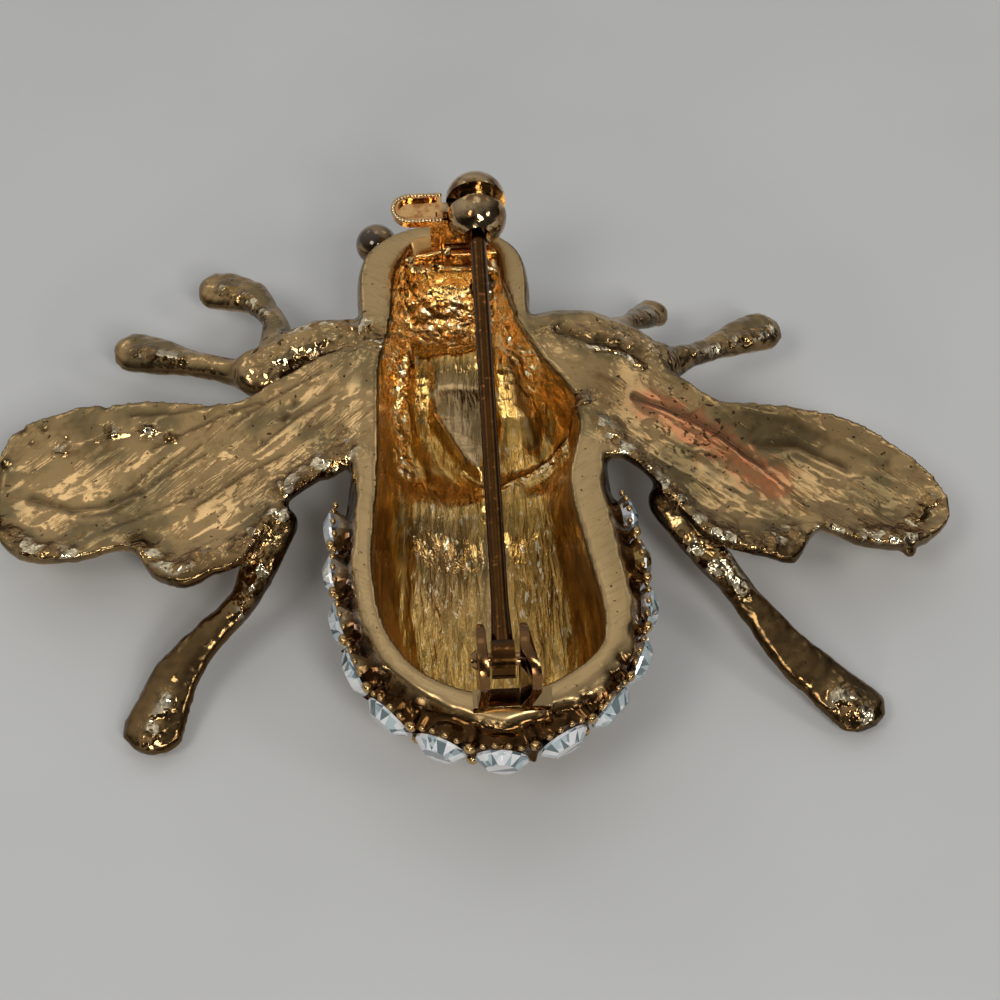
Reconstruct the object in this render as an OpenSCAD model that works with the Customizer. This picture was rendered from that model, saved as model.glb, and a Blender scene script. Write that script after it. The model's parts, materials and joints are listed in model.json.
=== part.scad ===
// Insect brooch, lying on its domed front with its open back and its pin upwards.
// Millimetres. X runs across the wings, Y from the tail to the head and Z upwards.
// The origin is on the surface below the brooch, at the middle of its outline.

/* [Body] */
// Length of the body from tail to head
body_len = 36; // [34:0.5:39]
// Width of the abdomen across its rim
body_w = 15.2; // [14:0.2:17]
// Depth of the body from its open rim to its front
body_deep = 7.5; // [6.8:0.1:8.6]
// Thickness of the body's front wall
front_wall = 1.3; // [1:0.1:1.8]
// Width of the flat rim along the sides
rim_band = 1.4; // [1.1:0.1:1.8]
// Width of the flat rim at the tail, under the hinge
tail_land = 2.4; // [2.2:0.1:3.2]
// Width of the flat rim at the head
head_land = 1.1; // [0.9:0.1:1.6]

/* [Wings] */
// Reach of the left wing from the pin
left_reach = 28.2; // [25:0.2:31]
// Reach of the right wing from the pin
right_reach = 26; // [24:0.2:29]
// Chord of the left wing
left_chord = 10.8; // [9.8:0.1:11.8]
// Chord of the right wing
right_chord = 9.4; // [8.6:0.1:10.2]
// Thickness of the wings
wing_t = 1.2; // [0.9:0.1:1.6]
// Depth of the hollow in the back of each wing
wing_dish = 0.6; // [0:0.1:0.8]
// Drop of the wing tips below the rim
wing_drop = 4; // [3:0.1:4.8]

/* [Legs] */
// Length of the left hind leg
hind_left_len = 14; // [12:0.2:15]
// Length of the right hind leg
hind_right_len = 16.2; // [14:0.2:17]
// Length of the left middle leg
mid_left_len = 10.6; // [9:0.2:11.6]
// Length of the right middle leg
mid_right_len = 10.2; // [8.6:0.2:11.2]
// Length of the left front leg
front_left_len = 9.6; // [8.4:0.2:10.6]
// Length of the right front leg
front_right_len = 6; // [5:0.2:7]
// Width of the hind legs' clubbed ends
hind_club_w = 3.5; // [2.8:0.1:4]
// Width of the other legs' clubbed ends
club_w = 3; // [2.4:0.1:3.4]
// Thickness of the legs
leg_t = 1.5; // [1.1:0.1:1.8]

/* [Stones and eyes] */
// Diameter of the stones round the abdomen
stone_d = 2.8; // [2.4:0.1:3]
// Height of a stone's crown above its girdle
crown_h = 0.5; // [0.35:0.05:0.6]
// Depth of a stone's point below its girdle
pavilion_h = 1; // [0.8:0.05:1.1]
// Gap between each stone or eye and its seat
seat_gap = 0.06; // [0.04:0.01:0.1]
// Diameter of the eyes
eye_d = 2.5; // [2.1:0.1:2.8]

/* [Pin and hinge] */
// Diameter of the pin's wire
pin_d = 0.92; // [0.8:0.02:1.1]
// Height of the pin's axis above the rim
pin_rise = 2.7; // [2.5:0.1:3.2]
// Length of the pin's tapered point
point_len = 4; // [3.5:0.5:5]
// Diameter of the pin's thicker root beside its eye
pin_root_d = 1.2; // [1:0.05:1.4]
// Length of the pin's root from the rivet
pin_root_len = 3.5; // [3:0.5:5]
// Diameter of the hinge rivet
rivet_d = 0.7; // [0.6:0.05:0.8]
// Radial clearance of the pin's eye on the rivet
rivet_gap = 0.04; // [0.02:0.01:0.08]
// Outer diameter of the pin's eye
pin_eye_d = 2; // [1.8:0.1:2.4]
// Width of the pin's eye
pin_eye_w = 1.2; // [1:0.1:1.6]
// Clearance between the pin's eye and each hinge ear
ear_gap = 0.25; // [0.15:0.05:0.4]
// Thickness of the hinge bracket's sheet
bracket_t = 0.5; // [0.4:0.05:0.6]

/* [Catch] */
// Diameter of the catch roller's round ends
roller_d = 3.5; // [3.2:0.1:3.8]
// Distance between the centres of the roller's two ends
roller_pitch = 1.3; // [1.2:0.1:1.8]
// Width of the catch strip that holds the roller
strip_w = 0.9; // [0.7:0.1:1.1]
// Thickness of the catch strip
strip_t = 0.5; // [0.4:0.05:0.6]
// Running clearance between the roller and its strip
roller_gap = 0.08; // [0.05:0.01:0.1]
// Length of the thumb lever beyond the catch strip
lever_len = 2.9; // [2.2:0.1:3.6]
// Width of the thumb lever
lever_w = 2.2; // [1.7:0.1:2.4]
// Width of the pin slot beyond the pin's diameter
slot_play = 0.26; // [0.16:0.02:0.3]

/* [Hidden] */
stone_count = 13;
function stone_name(i) = str("stone_", i < 10 ? "0" : "", i);
$fn = 48;
eps = 0.01;
past = 1;

// The pin lies on the line x = 0 and the tail is at y = tail_y until everything is placed
tail_y = -15;
rim_z = body_deep;
pin_z = rim_z + pin_rise;
half_w = body_w / 2;
head_y = tail_y + body_len;

// Outline of the rim from the tail to the head.
// Columns: share of the body's length, left and right half widths as shares of half the body's width
rim_rows = [
    [0.000, -0.04, 0.04],
    [0.020, 0.35, 0.30],
    [0.060, 0.65, 0.60],
    [0.120, 0.85, 0.80],
    [0.200, 0.97, 0.93],
    [0.310, 1.03, 0.92],
    [0.440, 1.01, 0.83],
    [0.560, 0.96, 0.82],
    [0.680, 0.93, 0.71],
    [0.770, 0.90, 0.40],
    [0.815, 0.90, 0.35],
    [0.870, 0.91, 0.365],
    [0.925, 0.88, 0.33],
    [0.965, 0.75, 0.20],
    [0.990, 0.55, -0.05],
    [1.000, 0.29, -0.29]];

// Outline of the hollow from its tail end to its head end.
// Columns: share of the hollow's length, left and right half widths as shares of the hollow's half width
hollow_rows = [
    [0.000, 0.02, -0.02],
    [0.011, 0.34, 0.34],
    [0.043, 0.64, 0.63],
    [0.091, 0.86, 0.87],
    [0.164, 1.01, 0.90],
    [0.262, 1.07, 0.82],
    [0.340, 1.05, 0.75],
    [0.430, 1.01, 0.70],
    [0.510, 0.99, 0.79],
    [0.567, 0.98, 0.85],
    [0.627, 0.97, 0.79],
    [0.704, 0.96, 0.56],
    [0.780, 0.87, 0.37],
    [0.856, 0.82, 0.26],
    [0.911, 0.79, 0.21],
    [0.951, 0.72, 0.20],
    [0.985, 0.61, 0.08],
    [1.000, 0.42, -0.26]];

// Depth of the body along its length: abdomen, waist, thorax, neck and head.
// Columns: share of the body's length, share of the body's depth
depth_rows = [
    [0.00, 1.00],
    [0.38, 0.98],
    [0.50, 0.78],
    [0.60, 0.97],
    [0.68, 1.00],
    [0.80, 0.70],
    [0.87, 0.86],
    [1.00, 0.84]];

// Rounding of the body and of its hollow from the rim to the front.
// Columns: share of the depth, share of the half width
dome_rows = [
    [0.00, 1.00],
    [0.12, 1.045],
    [0.28, 1.04],
    [0.45, 0.97],
    [0.62, 0.84],
    [0.78, 0.65],
    [0.90, 0.44],
    [0.97, 0.24],
    [1.00, 0.08]];
bowl_rows = [
    [0.00, 1.00],
    [0.30, 0.98],
    [0.55, 0.93],
    [0.75, 0.82],
    [0.88, 0.65],
    [0.97, 0.40],
    [1.00, 0.12]];

// The tail's rim is tucked in behind the stones, as a share of the distance to the middle line
tail_tuck = 0.14;

// The body's middle line runs from the middle of the tail's curve to the middle of the head's
tail_centre = [-0.013 * half_w, tail_y + 0.21 * body_len];
head_centre = [-0.276 * half_w, tail_y + 0.875 * body_len];

// Outlines of the wings from root to tip.
// Columns: share of the reach, front and rear edges as shares of the chord from the wing's line
left_wing_rows = [
    [0.210, 0.61, 0.07],
    [0.320, 0.64, 0.19],
    [0.410, 0.52, 0.35],
    [0.480, 0.39, 0.66],
    [0.545, 0.39, 0.71],
    [0.600, 0.42, 0.76],
    [0.662, 0.46, 0.69],
    [0.700, 0.48, 0.51],
    [0.740, 0.49, 0.47],
    [0.815, 0.51, 0.50],
    [0.885, 0.49, 0.48],
    [0.935, 0.45, 0.43],
    [0.970, 0.37, 0.34],
    [0.992, 0.23, 0.20],
    [1.000, 0.07, 0.05]];
right_wing_rows = [
    [0.110, 0.97, 0.05],
    [0.200, 0.97, 0.04],
    [0.290, 0.98, -0.01],
    [0.360, 0.86, 0.19],
    [0.440, 0.65, 0.51],
    [0.510, 0.51, 0.60],
    [0.575, 0.51, 0.64],
    [0.635, 0.51, 0.67],
    [0.675, 0.51, 0.49],
    [0.705, 0.50, 0.41],
    [0.775, 0.47, 0.48],
    [0.845, 0.39, 0.50],
    [0.908, 0.26, 0.47],
    [0.955, 0.13, 0.39],
    [0.985, 0.01, 0.30],
    [1.000, -0.11, 0.22]];
left_line = tail_y + 0.555 * body_len;
right_line = tail_y + 0.503 * body_len;
wing_root = 0.8 * half_w;

// Section of a wing across its chord.
// Columns: share of the chord, share of the dish, share of the thickness
wing_section = [
    [0.00, 0.0, 0.55],
    [0.07, 0.1, 0.85],
    [0.25, 0.8, 1.0],
    [0.50, 1.0, 1.0],
    [0.75, 0.8, 1.0],
    [0.93, 0.1, 0.85],
    [1.00, 0.0, 0.55]];

// Legs. Columns: side (-1 is left), root as shares of the wing's reach and chord, heading,
// length, club's width, height of the tip's middle, row of the bend table
tip_low = leg_t / 2 + 0.15;
tip_high = rim_z - wing_drop - leg_t / 2;
legs = [
    [-1, 0.420, -0.40, -123.7, hind_left_len, hind_club_w, tip_low, 0],
    [1, 0.378, -0.22, -49.3, hind_right_len, hind_club_w, tip_low, 1],
    [-1, 0.440, 0.58, 150, mid_left_len, club_w, tip_high, 2],
    [1, 0.365, 0.78, 36, mid_right_len, club_w, tip_high, 2],
    [-1, 0.420, 0.76, 117, front_left_len, club_w, tip_high, 3],
    [1, 0.290, 1.08, 56, front_right_len, 0.75 * club_w, tip_high, 2]];
// Bend of a leg to its right at a third and at two thirds of its length, as shares of the length
leg_bends = [
    [-0.045, 0.035],
    [0.030, 0.045],
    [0.000, 0.000],
    [0.130, 0.140]];
// Columns: share of the leg's length, share of the club's width, share of the thickness
leg_rows = [
    [0.00, 0.75, 1.3],
    [0.18, 0.68, 1.2],
    [0.36, 0.50, 1.0],
    [0.55, 0.58, 0.9],
    [0.75, 0.80, 1.0],
    [1.00, 1.00, 1.0]];

// Shoulders, the thick roots of the front legs.
// Columns: side, three points as shares of the wing's reach and chord, width
shoulders = [
    [-1, [0.225, 0.72], [0.34, 0.79], [0.47, 0.63], 3.0],
    [1, [0.120, 1.04], [0.24, 1.07], [0.39, 0.84], 2.7]];
shoulder_t = 2.2;

// Stones stand on a line round the abdomen that follows its flank, below the rim
stone_first = 0.452;
stone_drop = 1.6;
stone_out = 0.72;
stone_tilt = 16;
stone_r = stone_d / 2;
table_share = 0.6;
culet_share = 0.12;
girdle_t = 0.15;
collar_top = -0.3;
collar_deep = 0.9;
collar_r = stone_r - 0.1;
collar_sides = 14;
prong_r = 0.32;
prong_out = 0.05;
prong_side = 0.96;
prong_deep = 1.45;

// Eyes. Columns: place from the head's middle as shares of the head's half width, height below the rim
head_half = 0.63 * half_w;
eye_r = eye_d / 2;
left_eye_at = [-0.80, 0.92, 1.5];
right_eye_at = [0.62, 0.62, 3.9];

// Hinge
rivet_y = tail_y + tail_land + 0.2;
rivet_r = rivet_d / 2;
ear_in = pin_eye_w / 2 + ear_gap;
ear_out = ear_in + bracket_t;
ear_r = pin_eye_d / 2 + 0.85;
foot_y = [tail_y + 1.15, tail_y + tail_land - 0.1];
foot_x = [-1.6, 2.5];
rivet_head_r = 0.55;
rivet_head_t = 0.28;

// Catch
roller_r = roller_d / 2;
catch_y = head_y - 1.5;
groove_w = strip_w + 2 * roller_gap;
groove_r = roller_r - 0.5;
strip_in = groove_r + roller_gap;
strip_out = strip_in + strip_t;
slot_r = (pin_d + slot_play) / 2;
slot_end = catch_y + roller_pitch / 2 + roller_r - 0.7;
pin_tip_y = slot_end - 0.5;
strip_mouth = 0.45;
strip_lip = 0.7;
plate_x = [-3.9, 2.2];
plate_y = [catch_y - 1.8, head_y - 0.2];
plate_drop = 0.4;
web_x = [-2.7, 1.35];
mouth_r = slot_r + 0.3;
mouth_deep = 0.5;
slot_turn = -135;
lever_t = 0.5;
lever_rim = 0.3;
lever_hollow = 0.22;

// The middle of the whole outline, which goes to the origin
outline_front = head_centre.y + left_eye_at[1] * head_half + eye_r;
outline_back = tail_y - stone_out - crown_h - 0.24;
middle = [(right_reach - left_reach) / 2, (outline_front + outline_back) / 2];

module placed() {
    translate([-middle.x, -middle.y, 0]) children();
}

// One point of a smooth curve between b and c, with a and d as their neighbours
function between(a, b, c, d, t) =
    0.5 * (2 * b + (c - a) * t + (2 * a - 5 * b + 4 * c - d) * t * t + (3 * b - a - 3 * c + d) * t * t * t);

// A smooth closed curve through points p, with n steps between neighbours
function closed_curve(p, n) =
    let (m = len(p))
    [for (i = [0:m - 1], k = [0:n - 1])
        between(p[(i + m - 1) % m], p[i], p[(i + 1) % m], p[(i + 2) % m], k / n)];

// A smooth open curve through rows p, with n steps between neighbours
function open_curve(p, n) =
    let (m = len(p))
    concat(
        [for (i = [0:m - 2], k = [0:n - 1])
            between(p[max(i - 1, 0)], p[i], p[i + 1], p[min(i + 2, m - 1)], k / n)],
        [p[m - 1]]);

// Smoothly interpolated value at x in rows of [x, value]
function value_at(rows, x) =
    x <= rows[0][0] ? rows[0][1] :
    x >= rows[len(rows) - 1][0] ? rows[len(rows) - 1][1] :
    let (
        i = max([for (k = [0:len(rows) - 2]) rows[k][0] <= x ? k : 0]),
        t = (x - rows[i][0]) / (rows[i + 1][0] - rows[i][0]))
    rows[i][1] + (rows[i + 1][1] - rows[i][1]) * (1 - cos(180 * t)) / 2;

// Closed outline from rows of [share along, left, right], up the left side and down the right
function outline(rows, y0, length, half) =
    let (
        m = len(rows),
        left = [for (r = rows) [-r[1] * half, y0 + r[0] * length]],
        right = [for (i = [m - 2:-1:1]) [rows[i][2] * half, y0 + rows[i][0] * length]])
    closed_curve(concat(left, right), 3);

// Nearest point of the body's middle line
function foot(p) =
    let (t = min(max((p.y - tail_centre.y) / (head_centre.y - tail_centre.y), 0), 1))
    tail_centre + (head_centre - tail_centre) * t;

function depth_at(y) = body_deep * value_at(depth_rows, (y - tail_y) / body_len);

// Solid through rings that run up one side and down the other
module basin(rings) {
    m = len(rings[0]);
    h = m / 2;
    count = len(rings);
    low = (count - 1) * m;
    top_face = [
        for (k = [0:h - 1]) each [
            if (k > 0) [k, k + 1, (m - k) % m],
            if (k < h - 1) [k + 1, m - k - 1, (m - k) % m]]];
    polyhedron(
        points = [for (r = rings) each r],
        faces = concat(
            [for (f = top_face) [f[0], f[1], f[2]]],
            [for (f = top_face) [low + f[2], low + f[1], low + f[0]]],
            [for (j = [0:count - 2], k = [0:m - 1]) each
                let (a = j * m + k, b = j * m + (k + 1) % m, c = b + m, d = a + m)
                [[a, d, c], [a, c, b]]]));
}

// Solid through rings that have flat ends
module skin(rings) {
    m = len(rings[0]);
    count = len(rings);
    polyhedron(
        points = [for (r = rings) each r],
        faces = concat(
            [[for (k = [0:m - 1]) k]],
            [[for (k = [m - 1:-1:0]) (count - 1) * m + k]],
            [for (j = [0:count - 2], k = [0:m - 1]) each
                let (a = j * m + k, b = j * m + (k + 1) % m, c = b + m, d = a + m)
                [[a, d, c], [a, c, b]]]));
}

// Rings of a dome below an outline. lift closes the top ring above the rim and tuck draws its tail in
function dome_rings(line, rows, thinner, lift, tuck) = [
    for (r = rows) [
        for (p = line)
            let (
                f = foot(p),
                back = max(0, (f.y - p.y) / norm(p - f)),
                q = f + (p - f) * (r[1] - (r[0] == 0 ? tuck * back * back : 0)))
            [q.x, q.y, rim_z + (r[0] == 0 ? lift : 0) - (depth_at(f.y) - thinner) * r[0]]]];

module body_solid() {
    basin(dome_rings(outline(rim_rows, tail_y, body_len, half_w), dome_rows, 0, 0, tail_tuck));
}

module hollow() {
    basin(dome_rings(
        outline(hollow_rows, tail_y + tail_land, body_len - tail_land - head_land, half_w - rim_band),
        bowl_rows, front_wall, 0.5, 0));
}

// Place on a wing from shares of its reach and chord
function wing_place(side, share, off) =
    side < 0 ? [-left_reach * share, left_line + left_chord * off] :
    [right_reach * share, right_line + right_chord * off];

function wing_height(side, share) =
    let (reach = side < 0 ? left_reach : right_reach)
    rim_z - wing_drop * max(0, (reach * share - wing_root) / (reach - wing_root));

module wing(side, rows) {
    stations = open_curve(rows, 2);
    rings = [
        for (r = stations)
            let (
                share = min(r[0], 1),
                front = wing_place(side, share, r[1]),
                rear = wing_place(side, share, -r[2]),
                z = wing_height(side, share),
                dish = wing_dish * min(max((share - 0.3) / 0.25, 0), 1) * min(1, (r[1] + r[2]) / 0.6),
                thick = wing_t * min(1, 0.4 + (1 - share) * 8),
                top = [for (s = wing_section)
                    [front.x, rear.y + (front.y - rear.y) * s[0], z - dish * s[1]]],
                low = [for (i = [len(wing_section) - 1:-1:0])
                    let (s = wing_section[i])
                    [front.x, rear.y + (front.y - rear.y) * s[0], z - dish * s[1] - thick * s[2]]])
            concat(top, low)];
    skin(side < 0 ? rings : [for (i = [len(rings) - 1:-1:0]) rings[i]]);
}

// Round-ended limb through rows of [x, y, z, width, thickness]
module limb(rows) {
    path = open_curve(rows, 2);
    m = len(path);
    sides = 10;
    function heading(i) =
        let (a = path[max(i - 1, 0)], b = path[min(i + 1, m - 1)])
        atan2(b.y - a.y, b.x - a.x);
    function ring(p, turn, step, size) = [
        for (k = [0:sides - 1])
            let (
                u = 360 * k / sides,
                across = p[3] / 2 * size * cos(u),
                up = p[4] / 2 * size * sin(u))
            [p.x + step * cos(turn) - across * sin(turn),
                p.y + step * sin(turn) + across * cos(turn),
                p.z + up]];
    first = path[0];
    last = path[m - 1];
    skin(concat(
        [ring(first, heading(0), -0.42 * first[3], 0.3)],
        [ring(first, heading(0), -0.26 * first[3], 0.78)],
        [for (i = [0:m - 1]) ring(path[i], heading(i), 0, 1)],
        [ring(last, heading(m - 1), 0.26 * last[3], 0.78)],
        [ring(last, heading(m - 1), 0.42 * last[3], 0.3)]));
}

module leg(row) {
    root = wing_place(row[0], row[1], row[2]);
    root_z = wing_height(row[0], row[1]) - 0.75 * leg_t;
    bend = leg_bends[row[7]];
    bend_rows = [[0, 0], [0.36, bend[0]], [0.7, bend[1]], [1, 0]];
    reach = row[4] - 0.42 * row[5];
    limb([
        for (r = leg_rows)
            let (
                along = reach * r[0],
                side = row[4] * value_at(bend_rows, r[0]))
            [root.x + along * cos(row[3]) + side * sin(row[3]),
                root.y + along * sin(row[3]) - side * cos(row[3]),
                root_z + (row[6] - root_z) * r[0],
                row[5] * r[1],
                leg_t * r[2]]]);
}

module shoulder(row) {
    limb([
        for (i = [1:3])
            let (p = wing_place(row[0], row[i][0], row[i][1]))
            [p.x, p.y, wing_height(row[0], row[i][0]) - shoulder_t / 2 - 0.05, row[4], shoulder_t]]);
}

// The sprue's stub at the right wing's tip
module sprue_stub() {
    at = wing_place(1, 0.89, -0.49);
    z = wing_height(1, 0.89) - wing_t / 2;
    limb([[at.x, at.y + 0.8, z, 0.8, 0.7], [at.x + 0.1, at.y - 0.1, z, 0.8, 0.7]]);
}

// The stones' line in order: down the abdomen's left side, round the tail and up its right side
function line_left() =
    let (full = outline(rim_rows, tail_y, body_len, half_w), h = len(full) / 2)
    [for (k = [h:-1:0]) if (full[k].y < tail_y + stone_first * body_len) full[k]];
function line_right() =
    let (full = outline(rim_rows, tail_y, body_len, half_w), m = len(full))
    [for (k = [m - 1:-1:m / 2]) if (full[k].y < tail_y + stone_first * body_len) full[k]];
walk = concat(line_left(), line_right());
function run(i) = i == 0 ? 0 : run(i - 1) + norm(walk[i] - walk[i - 1]);
walk_runs = [for (i = [0:len(walk) - 1]) run(i)];
walk_len = walk_runs[len(walk) - 1];

// Place and outward heading at a share of the walk round the abdomen
function walk_at(share) =
    let (
        d = walk_len * share,
        i = max([for (k = [0:len(walk) - 2]) walk_runs[k] <= d ? k : 0]),
        t = (d - walk_runs[i]) / (walk_runs[i + 1] - walk_runs[i]),
        a = walk[max(i - 1, 0)],
        b = walk[min(i + 2, len(walk) - 1)],
        dir = (b - a) / norm(b - a))
    [walk[i] + (walk[i + 1] - walk[i]) * t, [dir.y, -dir.x]];

// Puts children at a share of the walk with +Z pointing outwards and down
module on_flank(share, out, drop) {
    w = walk_at(share);
    at = w[0] + w[1] * out;
    translate([at.x, at.y, rim_z - drop])
        rotate([0, 0, atan2(w[1].y, w[1].x)])
            rotate([0, 90 + stone_tilt, 0])
                children();
}

function stone_share(i) = (i - 0.5) / stone_count;

// Corners of a ring round the Z axis, turned by a share of the step between two corners
function ring(corners, r, z, turn) = [
    for (k = [0:corners - 1])
        let (a = 360 * (k + turn) / corners)
        [r * cos(a), r * sin(a), z]];

module cut_stone(r, crown, pavilion) {
    skin([
        ring(8, r * culet_share, -pavilion, 0.5),
        ring(8, r, -girdle_t / 2, 0),
        ring(8, r, girdle_t / 2, 0),
        ring(8, r * table_share, crown + girdle_t / 2, -0.5)]);
}

module stone(i) {
    color("white")
        placed()
            on_flank(stone_share(i), stone_out, stone_drop)
                cut_stone(stone_r, crown_h, pavilion_h);
}

// Collars, with the prongs between neighbouring stones
module collars() {
    for (i = [1:stone_count])
        on_flank(stone_share(i), stone_out, stone_drop)
            skin([
                ring(collar_sides, collar_r, collar_top - collar_deep, 0),
                ring(collar_sides, collar_r, collar_top, -0.5)]);
    for (i = [1:stone_count - 1], up = [-1, 1])
        on_flank(i / stone_count, stone_out, stone_drop)
            translate([up * prong_side, 0, 0])
                prong();
}

module prong() {
    skin([
        ring(6, 0.8 * prong_r, -prong_deep, 1.5),
        ring(6, prong_r, prong_out - 0.2, 1),
        ring(6, prong_r, prong_out, 0.5),
        ring(6, 0.5 * prong_r, prong_out + 0.2, 0)]);
}

module stone_seats() {
    for (i = [1:stone_count])
        on_flank(stone_share(i), stone_out, stone_drop)
            cut_stone(stone_r + 1.6 * seat_gap, crown_h, pavilion_h + 2 * seat_gap);
}

function eye_place(at) = [
    head_centre.x + at[0] * head_half,
    head_centre.y + at[1] * head_half,
    rim_z - at[2]];

module eye(at) {
    color("saddlebrown")
        placed()
            translate(eye_place(at)) sphere(r = eye_r, $fn = 32);
}

// One skin for the shell, wings and legs, cut by the hollow and the seats
module cast_body() {
    resize([0, 0, 0])
        difference() {
            union() {
                body_solid();
                wing(-1, left_wing_rows);
                wing(1, right_wing_rows);
                for (row = legs) leg(row);
                for (row = shoulders) shoulder(row);
                sprue_stub();
                collars();
            }
            hollow();
            stone_seats();
            for (at = [left_eye_at, right_eye_at])
                translate(eye_place(at)) sphere(r = eye_r + seat_gap, $fn = 16);
        }
}

// Hinge bracket: a foot on the tail's rim and two ears bored for the rivet
module hinge_bracket() {
    translate([foot_x[0], foot_y[0], rim_z - 0.2])
        cube([foot_x[1] - foot_x[0], foot_y[1] - foot_y[0], bracket_t + 0.2]);
    for (side = [-1, 1])
        difference() {
            translate([side > 0 ? ear_in : -ear_out, 0, 0])
                rotate([90, 0, 90])
                    linear_extrude(bracket_t)
                        union() {
                            translate([rivet_y, pin_z]) circle(r = ear_r);
                            polygon([
                                [foot_y[0], rim_z + bracket_t / 2],
                                [foot_y[1] + 0.2, rim_z + bracket_t / 2],
                                [rivet_y + ear_r, pin_z],
                                [rivet_y - ear_r, pin_z]]);
                        }
            translate([0, rivet_y, pin_z])
                rotate([0, 90, 0])
                    cylinder(h = 4 * ear_out, r = rivet_r, center = true);
        }
}

// Catch cradle: a plate let into the head's hollow and an open strip that holds the roller by its groove
module catch_cradle() {
    plate_z = rim_z - plate_drop - strip_t;
    intersection() {
        translate([plate_x[0], plate_y[0], plate_z])
            cube([plate_x[1] - plate_x[0], plate_y[1] - plate_y[0], strip_t]);
        translate([0, 0, plate_z - past])
            linear_extrude(strip_t + 2 * past)
                polygon([
                    for (p = outline(rim_rows, tail_y, body_len, half_w))
                        foot(p) + (p - foot(p)) * 0.93]);
    }
    translate([0, catch_y + strip_w / 2, pin_z])
        rotate([90, 0, 0])
            linear_extrude(strip_w)
                difference() {
                    union() {
                        circle(r = strip_out);
                        translate([web_x[0], -pin_rise - plate_drop - strip_t / 2])
                            square([web_x[1] - web_x[0], pin_rise + plate_drop + strip_t / 2]);
                    }
                    circle(r = strip_in);
                    translate([web_x[0] - past, -strip_mouth]) square([past - web_x[0], 2 * strip_out]);
                    translate([-past, strip_lip]) square([strip_out + 2 * past, strip_out]);
                }
}

module casting() {
    color("goldenrod")
        placed() {
            cast_body();
            hinge_bracket();
            catch_cradle();
        }
}

module hinge_rivet() {
    color("darkgoldenrod")
        placed()
            translate([0, rivet_y, pin_z])
                rotate([0, 90, 0]) {
                    cylinder(h = 2 * (ear_out + rivet_head_t), r = rivet_r - eps, center = true);
                    for (side = [0, 180])
                        rotate([side, 0, 0])
                            translate([0, 0, ear_out + eps])
                                cylinder(h = rivet_head_t, r1 = rivet_head_r, r2 = rivet_head_r * 0.6);
                }
}

// Pin: an eye on the rivet, a straight wire and a tapered point inside the roller
module pin_stem() {
    color("peru")
        placed()
            difference() {
                union() {
                    translate([0, rivet_y, pin_z])
                        rotate([0, 90, 0])
                            cylinder(h = pin_eye_w, r = pin_eye_d / 2, center = true);
                    translate([0, rivet_y + pin_eye_d * 0.3, pin_z])
                        rotate([-90, 0, 0])
                            cylinder(
                                h = pin_root_len - pin_eye_d * 0.3,
                                r1 = pin_root_d / 2,
                                r2 = pin_d / 2);
                    translate([0, rivet_y + pin_root_len - eps, pin_z])
                        rotate([-90, 0, 0])
                            cylinder(
                                h = pin_tip_y - point_len - rivet_y - pin_root_len + eps,
                                r = pin_d / 2);
                    translate([0, pin_tip_y - point_len, pin_z])
                        rotate([-90, 0, 0])
                            cylinder(h = point_len, r1 = pin_d / 2, r2 = 0.1);
                }
                translate([0, rivet_y, pin_z])
                    rotate([0, 90, 0])
                        cylinder(h = 2 * pin_eye_w, r = rivet_r + rivet_gap, center = true);
            }
}

// Roller: two round ends, a groove for the strip, a slot for the pin and a thumb lever
module catch_roller() {
    half = roller_pitch / 2;
    slot_start = -half - roller_r - past;
    slot_len = slot_end - catch_y - slot_start;
    color("gold")
        placed()
            translate([0, catch_y, pin_z])
                difference() {
                    union() {
                        difference() {
                            union() {
                                for (end = [-1, 1])
                                    translate([0, end * half, 0]) sphere(r = roller_r);
                            }
                            rotate([90, 0, 0])
                                difference() {
                                    cylinder(h = groove_w, r = roller_r + past, center = true);
                                    cylinder(h = groove_w + past, r = groove_r, center = true);
                                }
                        }
                        lever();
                    }
                    // Slot from the tail's side, turned away from the cradle's mouth at rest
                    rotate([0, slot_turn, 0]) {
                        translate([0, slot_start, 0])
                            rotate([-90, 0, 0])
                                cylinder(h = slot_len, r = slot_r);
                        translate([-slot_r, slot_start, 0])
                            cube([2 * slot_r, slot_len, roller_r + past]);
                    }
                    // Flared mouth of the slot
                    translate([0, -half - roller_r, 0])
                        rotate([-90, 0, 0])
                            cylinder(h = mouth_deep, r1 = mouth_r, r2 = slot_r);
                }
}

// Thumb lever with a shallow hollow in its upper face
module lever() {
    root = strip_out + 0.15;
    translate([-root - 0.4, -strip_w / 2 + roller_gap, -lever_t / 2])
        cube([root + 0.4 - slot_r - 0.2, strip_w - 2 * roller_gap, lever_t]);
    difference() {
        translate([0, 0, -lever_t / 2])
            lever_plate(root, lever_len, lever_w);
        translate([0, 0, lever_t / 2 - lever_hollow])
            lever_plate(root + lever_rim, lever_len - 2 * lever_rim, lever_w - 2 * lever_rim);
    }
}

module lever_plate(start, length, width) {
    linear_extrude(lever_t)
        union() {
            translate([-start - length + width / 2, 0]) circle(d = width);
            translate([-start - length + width / 2, -width / 2]) square([length - width / 2, width]);
        }
}

casting();
eye(left_eye_at);  // eye_left
eye(right_eye_at);  // eye_right
pin_stem();
hinge_rivet();
catch_roller();
for (i = [1:stone_count]) stone(i);
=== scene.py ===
"""Finish of the insect brooch: cast gold skin, findings, rhinestones, studio."""

import json
import math
from contextlib import contextmanager
from types import SimpleNamespace

import bpy
import numpy as np
from mathutils import Matrix, Vector, noise

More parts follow.
